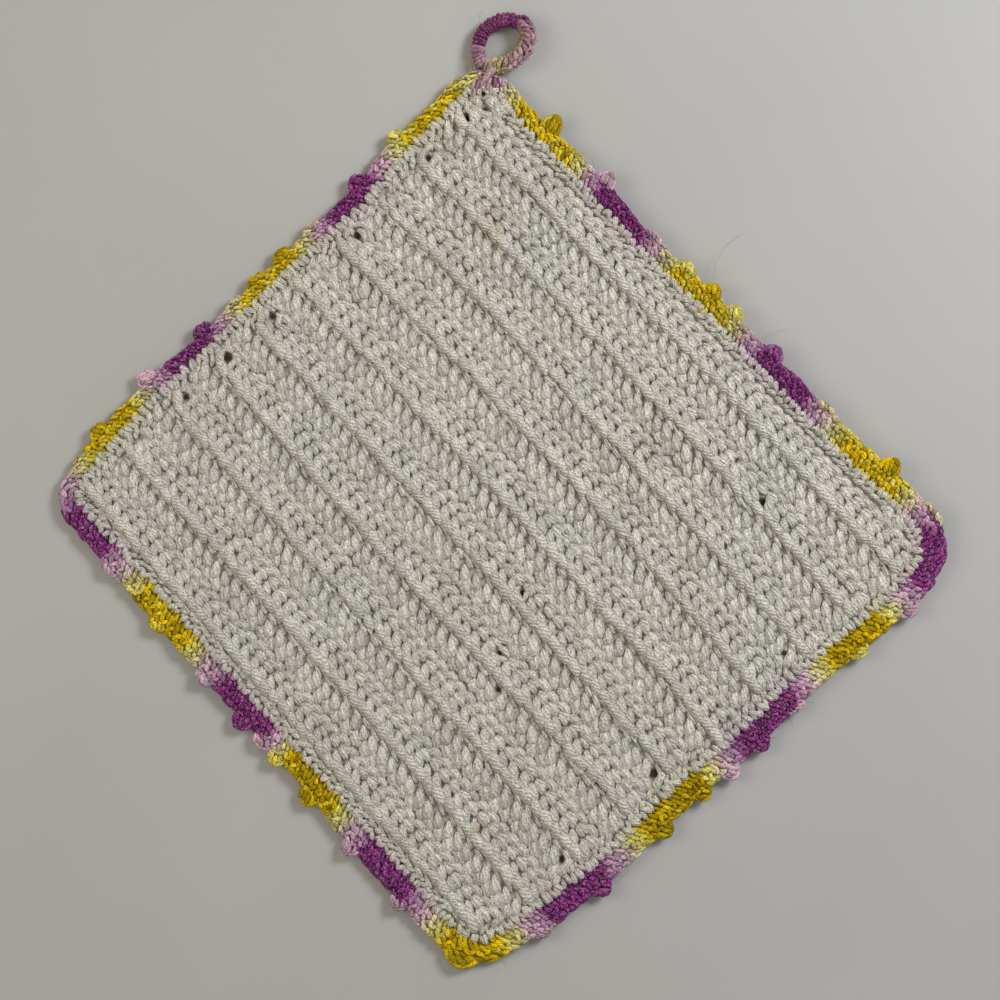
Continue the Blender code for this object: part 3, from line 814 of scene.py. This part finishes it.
class Shade:
    """A material under work: each step adds a node and gives its output."""

    def __init__(self, name):
        self.material = bpy.data.materials.new(name)
        self.material.use_nodes = True
        self.nodes = self.material.node_tree.nodes
        self.links = self.material.node_tree.links
        self.place = self.nodes.new("ShaderNodeTexCoord").outputs["Object"]

    def feed(self, socket, given):
        """Sets a socket to a value, or joins it to the output of another node."""
        if isinstance(given, bpy.types.NodeSocket):
            self.links.new(given, socket)
        else:
            socket.default_value = given

    def finish(self, given):
        """Feeds the shader's own sockets by name, and gives the material."""
        for name, value in given.items():
            self.feed(self.nodes["Principled BSDF"].inputs[name], value)
        return self.material

    def noise(self, scale, detail=2.0):
        """Soft noise over the piece's own coordinates."""
        node = self.nodes.new("ShaderNodeTexNoise")
        node.inputs["Scale"].default_value = scale
        node.inputs["Detail"].default_value = detail
        self.links.new(self.place, node.inputs["Vector"])
        return node.outputs["Fac"]

    def maths(self, operation, *given):
        node = self.nodes.new("ShaderNodeMath")
        node.operation = operation
        for socket, value in zip(node.inputs, given):
            self.feed(socket, value)
        return node.outputs[0]

    def attribute(self, name):
        node = self.nodes.new("ShaderNodeAttribute")
        node.attribute_name = name
        return node.outputs["Fac"]

    def between(self, value, low, high, start=0.0, end=1.0, soft=False):
        """The value's range from start to end, moved to the range from low to high."""
        node = self.nodes.new("ShaderNodeMapRange")
        if soft:
            node.interpolation_type = "SMOOTHSTEP"
        for name, given in (("From Min", start), ("From Max", end), ("To Min", low), ("To Max", high)):
            node.inputs[name].default_value = given
        self.links.new(value, node.inputs["Value"])
        return node.outputs[0]

    def ramp(self, value, *stops):
        """A colour ramp of (place, colour) stops; a single number stands for a grey."""
        node = self.nodes.new("ShaderNodeValToRGB")
        elements = node.color_ramp.elements
        while len(elements) < len(stops):
            elements.new(0.5)
        for element, (position, colour) in zip(elements, stops):
            element.position = position
            element.color = colour if isinstance(colour, tuple) else (colour, colour, colour, 1.0)
        self.links.new(value, node.inputs[0])
        return node.outputs[0]

    def mix(self, kind, factor, one, other):
        node = self.nodes.new("ShaderNodeMix")
        node.data_type = "RGBA"
        node.blend_type = kind
        for socket, given in ((node.inputs[0], factor), (node.inputs[6], one), (node.inputs[7], other)):
            self.feed(socket, given)
        return node.outputs[2]

    def multiply(self, colour, *others):
        for other in others:
            colour = self.mix("MULTIPLY", 1.0, colour, other)
        return colour

    def spots(self, rows, height, colour):
        """White, turning to this colour round each place: rows of x, y, radius and how strong."""
        tint = (1.0, 1.0, 1.0, 1.0)
        for x, y, radius, strong in rows:
            away = self.nodes.new("ShaderNodeVectorMath")
            away.operation = "DISTANCE"
            away.inputs[1].default_value = in_frame(x, y, height)
            self.links.new(self.place, away.inputs[0])
            share = self.between(away.outputs["Value"], 0.0, strong, radius * SPOT_RIM * MM,
                                 radius * SPOT_HEART * MM, soft=True)
            tint = self.mix("MIX", share, tint, colour)
        return tint

    def relief(self, height, strength, distance):
        node = self.nodes.new("ShaderNodeBump")
        node.inputs["Strength"].default_value = strength
        node.inputs["Distance"].default_value = distance
        self.links.new(height, node.inputs["Height"])
        return node.outputs[0]


def yarn_material(name, yarn, build_colour):
    """Twisted cotton: plies as ridges that wind round the strand, fine fibres and soft sheen."""
    shade = Shade(name)
    uv = shade.nodes.new("ShaderNodeUVMap")
    uv.uv_map = "yarn"
    split = shade.nodes.new("ShaderNodeSeparateXYZ")
    shade.links.new(uv.outputs[0], split.inputs[0])
    round_turn = shade.maths("MULTIPLY", split.outputs[0], math.tau * yarn["plies"])
    wound = shade.maths("MULTIPLY_ADD", split.outputs[1], math.tau / yarn["lay"], round_turn)
    strayed = shade.maths("MULTIPLY_ADD", shade.noise(PLY_NOISE), PLY_STRAY, wound)
    wave = shade.between(shade.maths("SINE", strayed), 0.0, 1.0, -1.0)
    fibres = shade.noise(FIBRE_NOISE, 3)
    height = shade.maths("MULTIPLY_ADD", wave, 0.5, fibres)
    return shade.finish({
        "Normal": shade.relief(height, yarn["relief"], YARN_RELIEF),
        "Base Color": build_colour(shade, wave, fibres),
        "Roughness": shade.between(fibres, yarn["roughness"] - 0.08, yarn["roughness"] + 0.08),
        "Sheen Weight": yarn["sheen"],
        "Sheen Roughness": 0.5,
        "Specular IOR Level": yarn["gloss"],
    })


def cotton_colour(shade, wave, fibres):
    """Off-white cotton: each strand a little lighter or darker, faint bluish and pinkish patches, painted
    shade in the hollows between the plies, and fibres painted lighter and darker, partly their own tone and
    partly painted highlight and shade.
    """
    return shade.multiply(
        tuple(settings().cotton_colour),
        shade.ramp(shade.attribute("yarn_tone"), (0.0, 0.84), (1.0, 1.14)),
        shade.ramp(shade.noise(28, 4), (0.35, (0.97, 0.985, 1.015, 1.0)), (0.5, 1.0),
                   (0.66, (0.99, 0.965, 0.945, 1.0))),
        # painted shade: the hollows between the plies are darkened
        shade.ramp(wave, (0.0, 0.74), (0.55, 1.07)),
        # fibres lighter and darker: partly their own tone, partly painted highlight where they stand high
        # and painted shade between them
        shade.ramp(fibres, (0.35, 0.66), (0.65, 1.36)),
        shade.spots(MARKS, MARK_HEIGHT, MARK_COLOUR))


def round_colour(shade, wave, fibres):
    """The same cotton, faintly stained by the dyed thread beside it."""
    stained = shade.ramp(shade.attribute("dye"),
                         (0.0, (1.0, 0.995, 0.92, 1.0)), (0.34, (1.0, 1.0, 0.95, 1.0)),
                         (0.56, (1.0, 0.96, 0.985, 1.0)), (1.0, (0.97, 0.90, 0.96, 1.0)))
    return shade.multiply(cotton_colour(shade, wave, fibres), stained)


def dyed_colour(shade, wave, fibres):
    """Variegated thread: runs of yellow, pale yellow, lilac and purple, by each strand's dye, with painted
    shade in the ply hollows, fibres painted lighter and darker, and a painted pale lilac highlight on the
    purple's high fibres.
    """
    dye = shade.attribute("dye")
    colour = shade.multiply(
        shade.ramp(dye, *DYE_STOPS),
        shade.ramp(shade.attribute("yarn_tone"), (0.0, 0.62), (1.0, 1.36)),
        # painted shade: the hollows between the plies are darkened
        shade.ramp(wave, (0.0, 0.60), (0.5, 1.0)),
        # fibres lighter and darker: partly their own tone, partly painted highlight where they stand high
        # and painted shade between them
        shade.ramp(fibres, (0.34, 0.66), (0.66, 1.22)))
    # painted highlight: the purple thread turns pale lilac where its fibres stand high
    painted_highlight = shade.ramp(fibres, (0.48, 0.0), (0.66, 0.42))
    only_purple = shade.ramp(dye, (0.5, 0.0), (0.8, 1.0))
    return shade.mix("MIX", shade.multiply(painted_highlight, only_purple), colour, PAINTED_PURPLE_HIGHLIGHT)


def ring_colour(shade, wave, fibres):
    """The same thread, worn darker and browner on the ring."""
    return shade.multiply(dyed_colour(shade, wave, fibres), RING_WEAR)


# ---------------------------------------------------------------- the pieces


def downwards(strands):
    """The strands of a stitch that is drawn from the rib's crest down, for a y that points up."""
    return [(thick, twist, [(u, -v, z, width) for u, v, z, width in rows])
            for thick, twist, rows in strands]


class POTHOLDER_OT_cloth(bpy.types.Operator):
    """Works both sides of the white cloth, one stitch copied along its rows"""

    bl_idname = "potholder.cloth"
    bl_label = "White cloth stitches"

    def execute(self, context):
        material = yarn_material("white_cotton_yarn", COTTON_YARN, cotton_colour)
        for seed, (name, strands) in enumerate(FRONT_PIECES.items()):
            work_cloth(name, [FRONT_STRANDS[strand] for strand in strands], (7, 6), 0.25, material, seed)
        work_cloth("panel_underside", BACK_STRANDS.values(), (6, 4), 0.04, material, 7)
        return {"FINISHED"}


def work_cloth(name, strands, form, waves, material, seed):
    """One piece of the cloth: these strands of a stitch, at each stitch inside the white round."""
    columns = 2 * STITCHES_EACH_WAY
    piece = start_piece(name)
    size = model_strands(piece, downwards(strands), *form)
    points = repeat_piece(piece, ((columns, (STITCH_PITCH, 0, 0)), (len(RIBS) - 1, (0, -REPEAT, 0))))

    def find_place(number, centre):
        cell = number // len(strands)
        column, rib = cell % columns, cell // columns

        def on_rib(point):
            stitch = (point.x - column * STITCH_PITCH) / STITCH_PITCH + column - STITCHES_EACH_WAY
            return on_cloth(rib, stitch, -(point.y + rib * REPEAT) / REPEAT)

        x, y = on_rib(centre)
        inside, depth = EDGE.depth_inside(x, y)
        if inside < depth:
            return None
        drift = noise.noise(Vector((x * WAVES_NOISE, y * WAVES_NOISE, 3.0))) * waves
        place = Vector((x, y, 0.0)) * PULL_NOISE
        pull = Vector((noise.noise(place + PULL_ASIDE), noise.noise(place))) * ROW_PULL

        def move(point):
            across, along = on_rib(point)
            return across + pull.x, along + pull.y, point.z * SMALL + drift

        return move, 0.0

    lay_strands(piece, points, size, find_place, material, "white_cotton", seed)


def work_edge(name, strands, form, place, material, slot, seed, restless=EDGE_RESTLESS):
    """One round of stitches along the whole edge, each strand put beside it by place()."""
    piece = start_piece(name)
    size = model_strands(piece, strands.values(), *form)
    units = round(EDGE.length / (ROUND_PITCH * SMALL))
    points = repeat_piece(piece, ((units, (ROUND_PITCH, 0, 0)),))
    step = EDGE.length / (units * ROUND_PITCH)

    def find_place(number, centre):
        return (lambda point: place(-point.x * step, point.y, point.z)), dye_at(-centre.x * step)

    lay_strands(piece, points, size, find_place, material, slot, seed, restless)


class POTHOLDER_OT_edge_round(bpy.types.Operator):
    """Works the white round of stitches along the edge of the cloth"""

    bl_idname = "potholder.edge_round"
    bl_label = "White edge round"

    def execute(self, context):
        material = yarn_material("edge_round_yarn", COTTON_YARN, round_colour)
        work_edge("panel_edge_round", ROUND_STRANDS, (7, 6), within_edge, material, "white_cotton", 11,
                  ROUND_RESTLESS)
        return {"FINISHED"}


class POTHOLDER_OT_edging(bpy.types.Operator):
    """Works the variegated edging, its underside and its picots"""

    bl_idname = "potholder.edging"
    bl_label = "Variegated edging"

    def execute(self, context):
        material = yarn_material("variegated_yarn", THREAD, dyed_colour)
        slot = "variegated_thread"
        edging_core(material)
        work_edge("edging_stitches", EDGING_STRANDS, (6, 5), beside_edge, material, slot, 21)
        work_edge("edging_underside", EDGING_BACK_STRANDS, (6, 4), beside_edge, material, slot, 22)
        edging_picots(material)
        return {"FINISHED"}


def sweep_core(name, rings, dyes, material):
    """A closed core through rings of points, with the dye of each ring."""
    piece = start_piece(name)
    mesh = bmesh.new()
    rings = [[mesh.verts.new(in_frame(*point)) for point in ring] for ring in rings]
    for ring, after in zip(rings, rings[1:] + rings[:1]):
        for k in range(len(ring)):
            other = (k + 1) % len(ring)
            mesh.faces.new((ring[k], ring[other], after[other], after[k]))
    close_piece(piece, mesh)
    dyes = [dye for dye in dyes for _ in rings[0]]
    # Every point gets the lowest tone: the core is painted darker, as shade in the gaps between the
    # stitches over it.
    dress_piece(piece, [0.0] * len(dyes), dyes, material)
    return piece


def edging_core(material):
    """The inside of the edging, swept along the edge under its stitches, painted dark as shade in the gaps
    between them.
    """
    places = [EDGE.length * unit / CORE_PLACES for unit in range(CORE_PLACES)]
    rings = [[beside_edge(gone, away, height) for away, height in CORE_SECTION] for gone in places]
    dyes = [dye_at(gone) for gone in places]
    piece = sweep_core("edging_core", rings, dyes, material)
    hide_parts("edging")


def edging_picots(material):
    """One picot, copied and set at each of its places along the rim."""
    places = [(edge_place(side, where), reach, dye)
              for side, picots in PICOTS.items() for where, reach, dye in picots]
    piece = start_piece("edging_picots")
    size = model_strands(piece, PICOT_STRANDS.values(), 6, 5)
    points = repeat_piece(piece, ((len(places), (PICOTS_APART, 0, 0)),))

    def find_place(number, centre):
        picot = number // len(PICOT_STRANDS)
        middle, reach, dye = places[picot]
        grown = reach / (PICOT_REACH * SMALL)

        def move(point):
            gone = middle - (point.x - picot * PICOTS_APART) * SMALL
            x, y, z = beside_edge(gone, EDGING_WIDTH - 1.0, point.z)
            out = EDGE.at(middle)[1] * point.y * SMALL * grown
            return x + out.x, y + out.y, z

        return move, dye

    lay_strands(piece, points, size, find_place, material, "variegated_thread", 31)


class POTHOLDER_OT_hairs(bpy.types.Operator):
    """Lays the loose hairs of yarn along the edge, and the frayed ends at the ring"""

    bl_idname = "potholder.hairs"
    bl_label = "Loose hairs"

    def execute(self, context):
        draw = random.Random(71)
        thread = bpy.data.materials["variegated_yarn"]
        rows = list(LONG_HAIRS)
        for _ in range(HAIRS_ALONG_EDGE):
            gone = draw.uniform(0, EDGE.length)
            here, out, width, _, _ = EDGE.at(gone)
            root = here + out * (width - 0.6)
            angle = math.degrees(math.atan2(out.y, out.x)) + draw.uniform(-75, 75)
            rows.append((root.x, root.y, draw.uniform(1.2, 4.5), angle, draw.uniform(-90, 90),
                         dye_at(gone)))
        lay_hairs("edging_hairs", rows, thread, 0.07)
        lay_hairs("ring_frayed_ends", FRAYED, thread, 0.14)
        rows = []
        for _ in range(TUFT_HAIRS):
            x, y = TUFT[0] + draw.gauss(0, 0.7), TUFT[1] + draw.gauss(0, 0.5)
            rows.append((x, y, draw.uniform(1.0, 2.6), draw.uniform(90, 270), draw.uniform(-120, 120), 0.0))
        lay_hairs("panel_hairs", rows, bpy.data.materials["white_cotton_yarn"], 0.16)
        return {"FINISHED"}


def lay_hairs(name, rows, material, thick):
    """One short thin hair, copied, and each copy bent and laid at its root."""
    piece = start_piece(name)
    size = model_strands(piece, HAIR_STRANDS, 4, 6)
    points = repeat_piece(piece, ((len(rows), (COPIES_APART, 0, 0)),))
    moved, dyes = [], []
    for number, (x, y, length, angle, bend, dye) in enumerate(rows):
        for point in points[number * size:(number + 1) * size]:
            share = (point.x - number * COPIES_APART) / 3.0
            heading = math.radians(angle + bend * share / 2)
            ahead = Vector((math.cos(heading), math.sin(heading), 0.0))
            aside = Vector((-ahead.y, ahead.x, 0.0)) * point.y * thick
            place = Vector((x, y, HAIR_ROOT - HAIR_FALL * share)) + ahead * length * share + aside
            moved.extend(in_frame(place.x, place.y, place.z + point.z * thick))
        dyes.extend([dye] * size)
    piece.data.vertices.foreach_set("co", moved)
    dress_piece(piece, [0.8] * len(dyes), dyes, material)


class POTHOLDER_OT_ring(bpy.types.Operator):
    """Winds the thread round the hanging ring and ties it to the corner"""

    bl_idname = "potholder.ring"
    bl_label = "Hanging ring"

    def execute(self, context):
        material = yarn_material("ring_yarn", THREAD_ON_RING, ring_colour)
        ring_core(material)
        ring_wraps(material)
        ring_loops(material)
        ring_root(material)
        return {"FINISHED"}


class RingPath:
    """The ring's centre line, with the way across its cord and the way up at each place."""

    def __init__(self):
        self.line = smooth_rows(RING_LINE, OUTLINE_STEPS, closed=True)
        self.walked = [0.0]
        for one, other in zip(self.line, self.line[1:] + self.line[:1]):
            self.walked.append(self.walked[-1] + math.dist(one[:3], other[:3]))
        self.length = self.walked[-1]

    def at(self, share):
        """Here, outwards across the cord, up, ahead, and the cord's radius at this share of the way."""
        gone = share % 1.0 * self.length
        i = min(range(len(self.line)), key=lambda k: abs(self.walked[k] - gone))
        before, after = self.line[i - 1][:3], self.line[(i + 1) % len(self.line)][:3]
        ahead = (Vector(after) - Vector(before)).normalized()
        out = Vector((0, 0, 1)).cross(ahead).normalized()
        return Vector(self.line[i][:3]), out, ahead.cross(out), ahead, RING_CORD / 2 * self.line[i][3]


def ring_dye(share):
    """The thread's colour round the ring, from its foot clockwise."""
    for (start, one), (end, other) in zip(RING_DYES, RING_DYES[1:]):
        if share <= end:
            return one + (other - one) * (share - start) / (end - start)
    return RING_DYES[-1][1]


def ring_core(material):
    """The inside of the ring, under its wraps, painted dark as shade in the gaps between them."""
    path = RingPath()
    shares = [step / RING_PLACES for step in range(RING_PLACES)]
    turns = [math.tau * k / RING_SIDES for k in range(RING_SIDES)]
    rings = []
    for share in shares:
        here, out, up, _, radius = path.at(share)
        rings.append([here + (out * math.cos(turn) + up * math.sin(turn)) * (radius - RING_INSET)
                      for turn in turns])
    dyes = [ring_dye(share) for share in shares]
    piece = sweep_core("ring_core", rings, dyes, material)
    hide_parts("hanging_loop")


def ring_wraps(material):
    """The thread's turns round the ring: one turn, copied and set along it."""
    path = RingPath()
    bpy.ops.object.select_all(action="DESELECT")
    bpy.ops.mesh.primitive_torus_add(major_segments=16, minor_segments=5, major_radius=1.0,
                                     minor_radius=0.3)
    piece = bpy.context.object
    piece.name = piece.data.name = "ring_wraps"
    piece.data.uv_layers[0].name = "yarn"
    size = len(piece.data.vertices)
    points = repeat_piece(piece, ((RING_TURNS, (COPIES_APART, 0, 0)),))
    moved, tones, dyes = [], [], []
    for turn in range(RING_TURNS):
        draw = random.Random(500 + turn)
        share = (turn + draw.uniform(-0.2, 0.2)) / RING_TURNS
        here, out, up, ahead, radius = path.at(share)
        lean = draw.uniform(-0.2, 0.2)
        thick = draw.uniform(1.15, 1.6)
        reach = radius - 0.26 + draw.gauss(0, 0.06)
        dye = ring_dye(share) + draw.gauss(0, 0.03)
        tone = draw.random()
        for point in points[turn * size:(turn + 1) * size]:
            flat = Vector((point.x - turn * COPIES_APART, point.y))
            away = flat.length - 1.0
            flat = flat.normalized() * (reach + away * thick)
            place = here + out * flat.x + up * flat.y + ahead * (point.z * thick * 1.2 + flat.x * lean)
            moved.extend(in_frame(place.x, place.y, max(0.02, place.z)))
            tan = OCHRE_FROM < share < OCHRE_TO and flat.x < -0.5 * reach
            tones.append(0.0 if tan else tone)
            dyes.append(OCHRE_DYE if tan else min(1.0, max(0.0, dye)))
    piece.data.vertices.foreach_set("co", moved)
    dress_piece(piece, tones, dyes, material)


def ring_loops(material):
    """The knotted loops that stand along the outer side of the ring's right arc."""
    path = RingPath()
    piece = start_piece("ring_loops")
    size = model_strands(piece, LOOP_STRANDS.values(), 6, 5)
    points = repeat_piece(piece, ((LOOPS, (LOOP_PITCH, 0, 0)),))

    def find_place(number, centre):
        share = LOOPS_FROM + centre.x * SMALL / path.length

        def move(point):
            here, out, up, _, radius = path.at(LOOPS_FROM + point.x * SMALL / path.length)
            away = radius + (point.z - CORD_FACE) * SMALL
            turn = point.y * SMALL / radius
            return here + (out * math.sin(turn) + up * math.cos(turn)) * away

        return move, ring_dye(share)

    lay_strands(piece, points, size, find_place, material, "ring_thread", 41)


def ring_root(material):
    """The bundle of thread that holds the ring's foot to the corner."""
    piece = start_piece("ring_root")
    mesh = bmesh.new()
    uv = mesh.loops.layers.uv.new("yarn")
    tones, dyes = [], []
    draw = random.Random(61)
    for dye, rows in ROOT_STRANDS:
        before = len(mesh.verts)
        placed = [(*in_frame(x, y, z), width * MM) for x, y, z, width in rows]
        add_strand(mesh, uv, placed, 0.8, ROOT_TWIST, 7, 9)
        tones.extend([draw.uniform(0.3, 1.0)] * (len(mesh.verts) - before))
        dyes.extend([dye] * (len(mesh.verts) - before))
    close_piece(piece, mesh)
    dress_piece(piece, tones, dyes, material)


class POTHOLDER_OT_ground(bpy.types.Operator):
    """Lays the thin ground cloth that closes the gaps between the strands"""

    bl_idname = "potholder.ground"
    bl_label = "Ground cloth"

    def execute(self, context):
        piece = start_piece("panel_ground")
        mesh = bmesh.new()
        rim = [(here.x - out.x * GROUND_INSET, here.y - out.y * GROUND_INSET)
               for here, out, *_ in EDGE.places[::6]]
        mesh.faces.new([mesh.verts.new(in_frame(x, y, GROUND_HEIGHT)) for x, y in rim])
        bmesh.ops.triangulate(mesh, faces=mesh.faces[:])
        mesh.to_mesh(piece.data)
        mesh.free()
        bpy.ops.object.mode_set(mode="EDIT")
        bpy.ops.mesh.select_all(action="SELECT")
        bpy.ops.mesh.tris_convert_to_quads()
        bpy.ops.mesh.normals_make_consistent(inside=False)
        bpy.ops.object.mode_set(mode="OBJECT")
        solidify = piece.modifiers.new("Thickness", "SOLIDIFY")
        solidify.thickness = settings().ground_thick
        solidify.offset = 0
        bpy.ops.object.modifier_apply(modifier=solidify.name)
        piece.data.materials.append(ground_material())
        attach(piece, "root")
        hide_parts("panel")
        return {"FINISHED"}


def ground_material():
    """Cotton between the two faces, painted darker as shade in the gaps between the strands, with painted
    shadow where an opening shows the table's shadow.
    """
    shade = Shade("ground_cotton")
    weave = shade.noise(900)
    openings = [(x, y, OPENING_SHADE * radius, 1.0) for x, y, radius in HOLES]
    return shade.finish({
        "Base Color": shade.multiply(shade.ramp(weave, *GROUND_SHADE_STOPS),
                                     shade.spots(openings, GROUND_FACE, OPENING_SHADOW_COLOUR)),
        "Normal": shade.relief(weave, 1.0, 0.2 * MM),
        "Roughness": shade.between(weave, 0.8, 0.95),
    })


class POTHOLDER_OT_stage(bpy.types.Operator):
    """Sets the pale table, the soft light and the camera over the pot holder"""

    bl_idname = "potholder.stage"
    bl_label = "Stage"

    def execute(self, context):
        bpy.ops.object.select_all(action="DESELECT")
        bpy.ops.mesh.primitive_plane_add(size=6, location=(0, 0, -0.0002))
        table = bpy.context.object
        table.name = "table"
        shade = Shade("pale_table")
        stain = shade.ramp(shade.noise(9, 5), (0.3, 0.96), (0.7, 1.03))
        colour = shade.multiply(tuple(settings().floor_colour), stain)
        table.data.materials.append(shade.finish({"Base Color": colour, "Roughness": 0.6}))

        scene = context.scene
        scene.world = bpy.data.worlds.new("soft_room")
        scene.world.use_nodes = True
        room = scene.world.node_tree.nodes["Background"]
        room.inputs[0].default_value = (1.0, 1.0, 1.0, 1.0)
        room.inputs[1].default_value = ROOM_LIGHT
        scene.view_settings.view_transform = "Standard"

        turn = Matrix.Rotation(math.radians(CAMERA_TURN), 3, "Z")
        for name, place, size, power, colour in LIGHTS:
            lamp = bpy.data.lights.new(name, "AREA")
            lamp.shape = "SQUARE"
            lamp.size = size
            lamp.energy = power
            lamp.color = colour
            light = bpy.data.objects.new(name, lamp)
            light.location = turn @ Vector(place)
            light.rotation_euler = (-(turn @ Vector(place))).to_track_quat("-Z", "Y").to_euler()
            scene.collection.objects.link(light)

        camera = bpy.data.cameras.new("camera")
        camera.lens = CAMERA_LENS
        camera.sensor_width = CAMERA_SENSOR
        view = bpy.data.objects.new("camera", camera)
        distance = CAMERA_VIEW * camera.lens / camera.sensor_width
        view.location = Vector(in_frame(*CAMERA_MIDDLE)) + Vector((0, 0, distance))
        view.rotation_euler = (0, 0, math.radians(CAMERA_TURN))
        scene.collection.objects.link(view)
        scene.camera = view
        return {"FINISHED"}


class POTHOLDER_PT_panel(bpy.types.Panel):
    """Lists the pot holder's settings and the steps that work it"""

    bl_label = "Pot holder"
    bl_idname = "POTHOLDER_PT_panel"
    bl_space_type = "VIEW_3D"
    bl_region_type = "UI"
    bl_category = "Pot holder"

    def draw(self, context):
        for name in PotHolderSettings.__annotations__:
            self.layout.prop(context.scene.pot_holder, name)
        for operator in OPERATORS:
            self.layout.operator(operator.bl_idname)


OPERATORS = (
    POTHOLDER_OT_stage,
    POTHOLDER_OT_cloth,
    POTHOLDER_OT_edge_round,
    POTHOLDER_OT_ground,
    POTHOLDER_OT_edging,
    POTHOLDER_OT_hairs,
    POTHOLDER_OT_ring,
)
CLASSES = (PotHolderSettings, *OPERATORS, POTHOLDER_PT_panel)


def register():
    for one in CLASSES:
        bpy.utils.register_class(one)
    bpy.types.Scene.pot_holder = bpy.props.PointerProperty(type=PotHolderSettings)


def unregister():
    del bpy.types.Scene.pot_holder
    for one in reversed(CLASSES):
        bpy.utils.unregister_class(one)


def main():
    register()
    for operator in OPERATORS:
        group, name = operator.bl_idname.split(".")
        getattr(getattr(bpy.ops, group), name)()


if __name__ == "__main__":
    main()
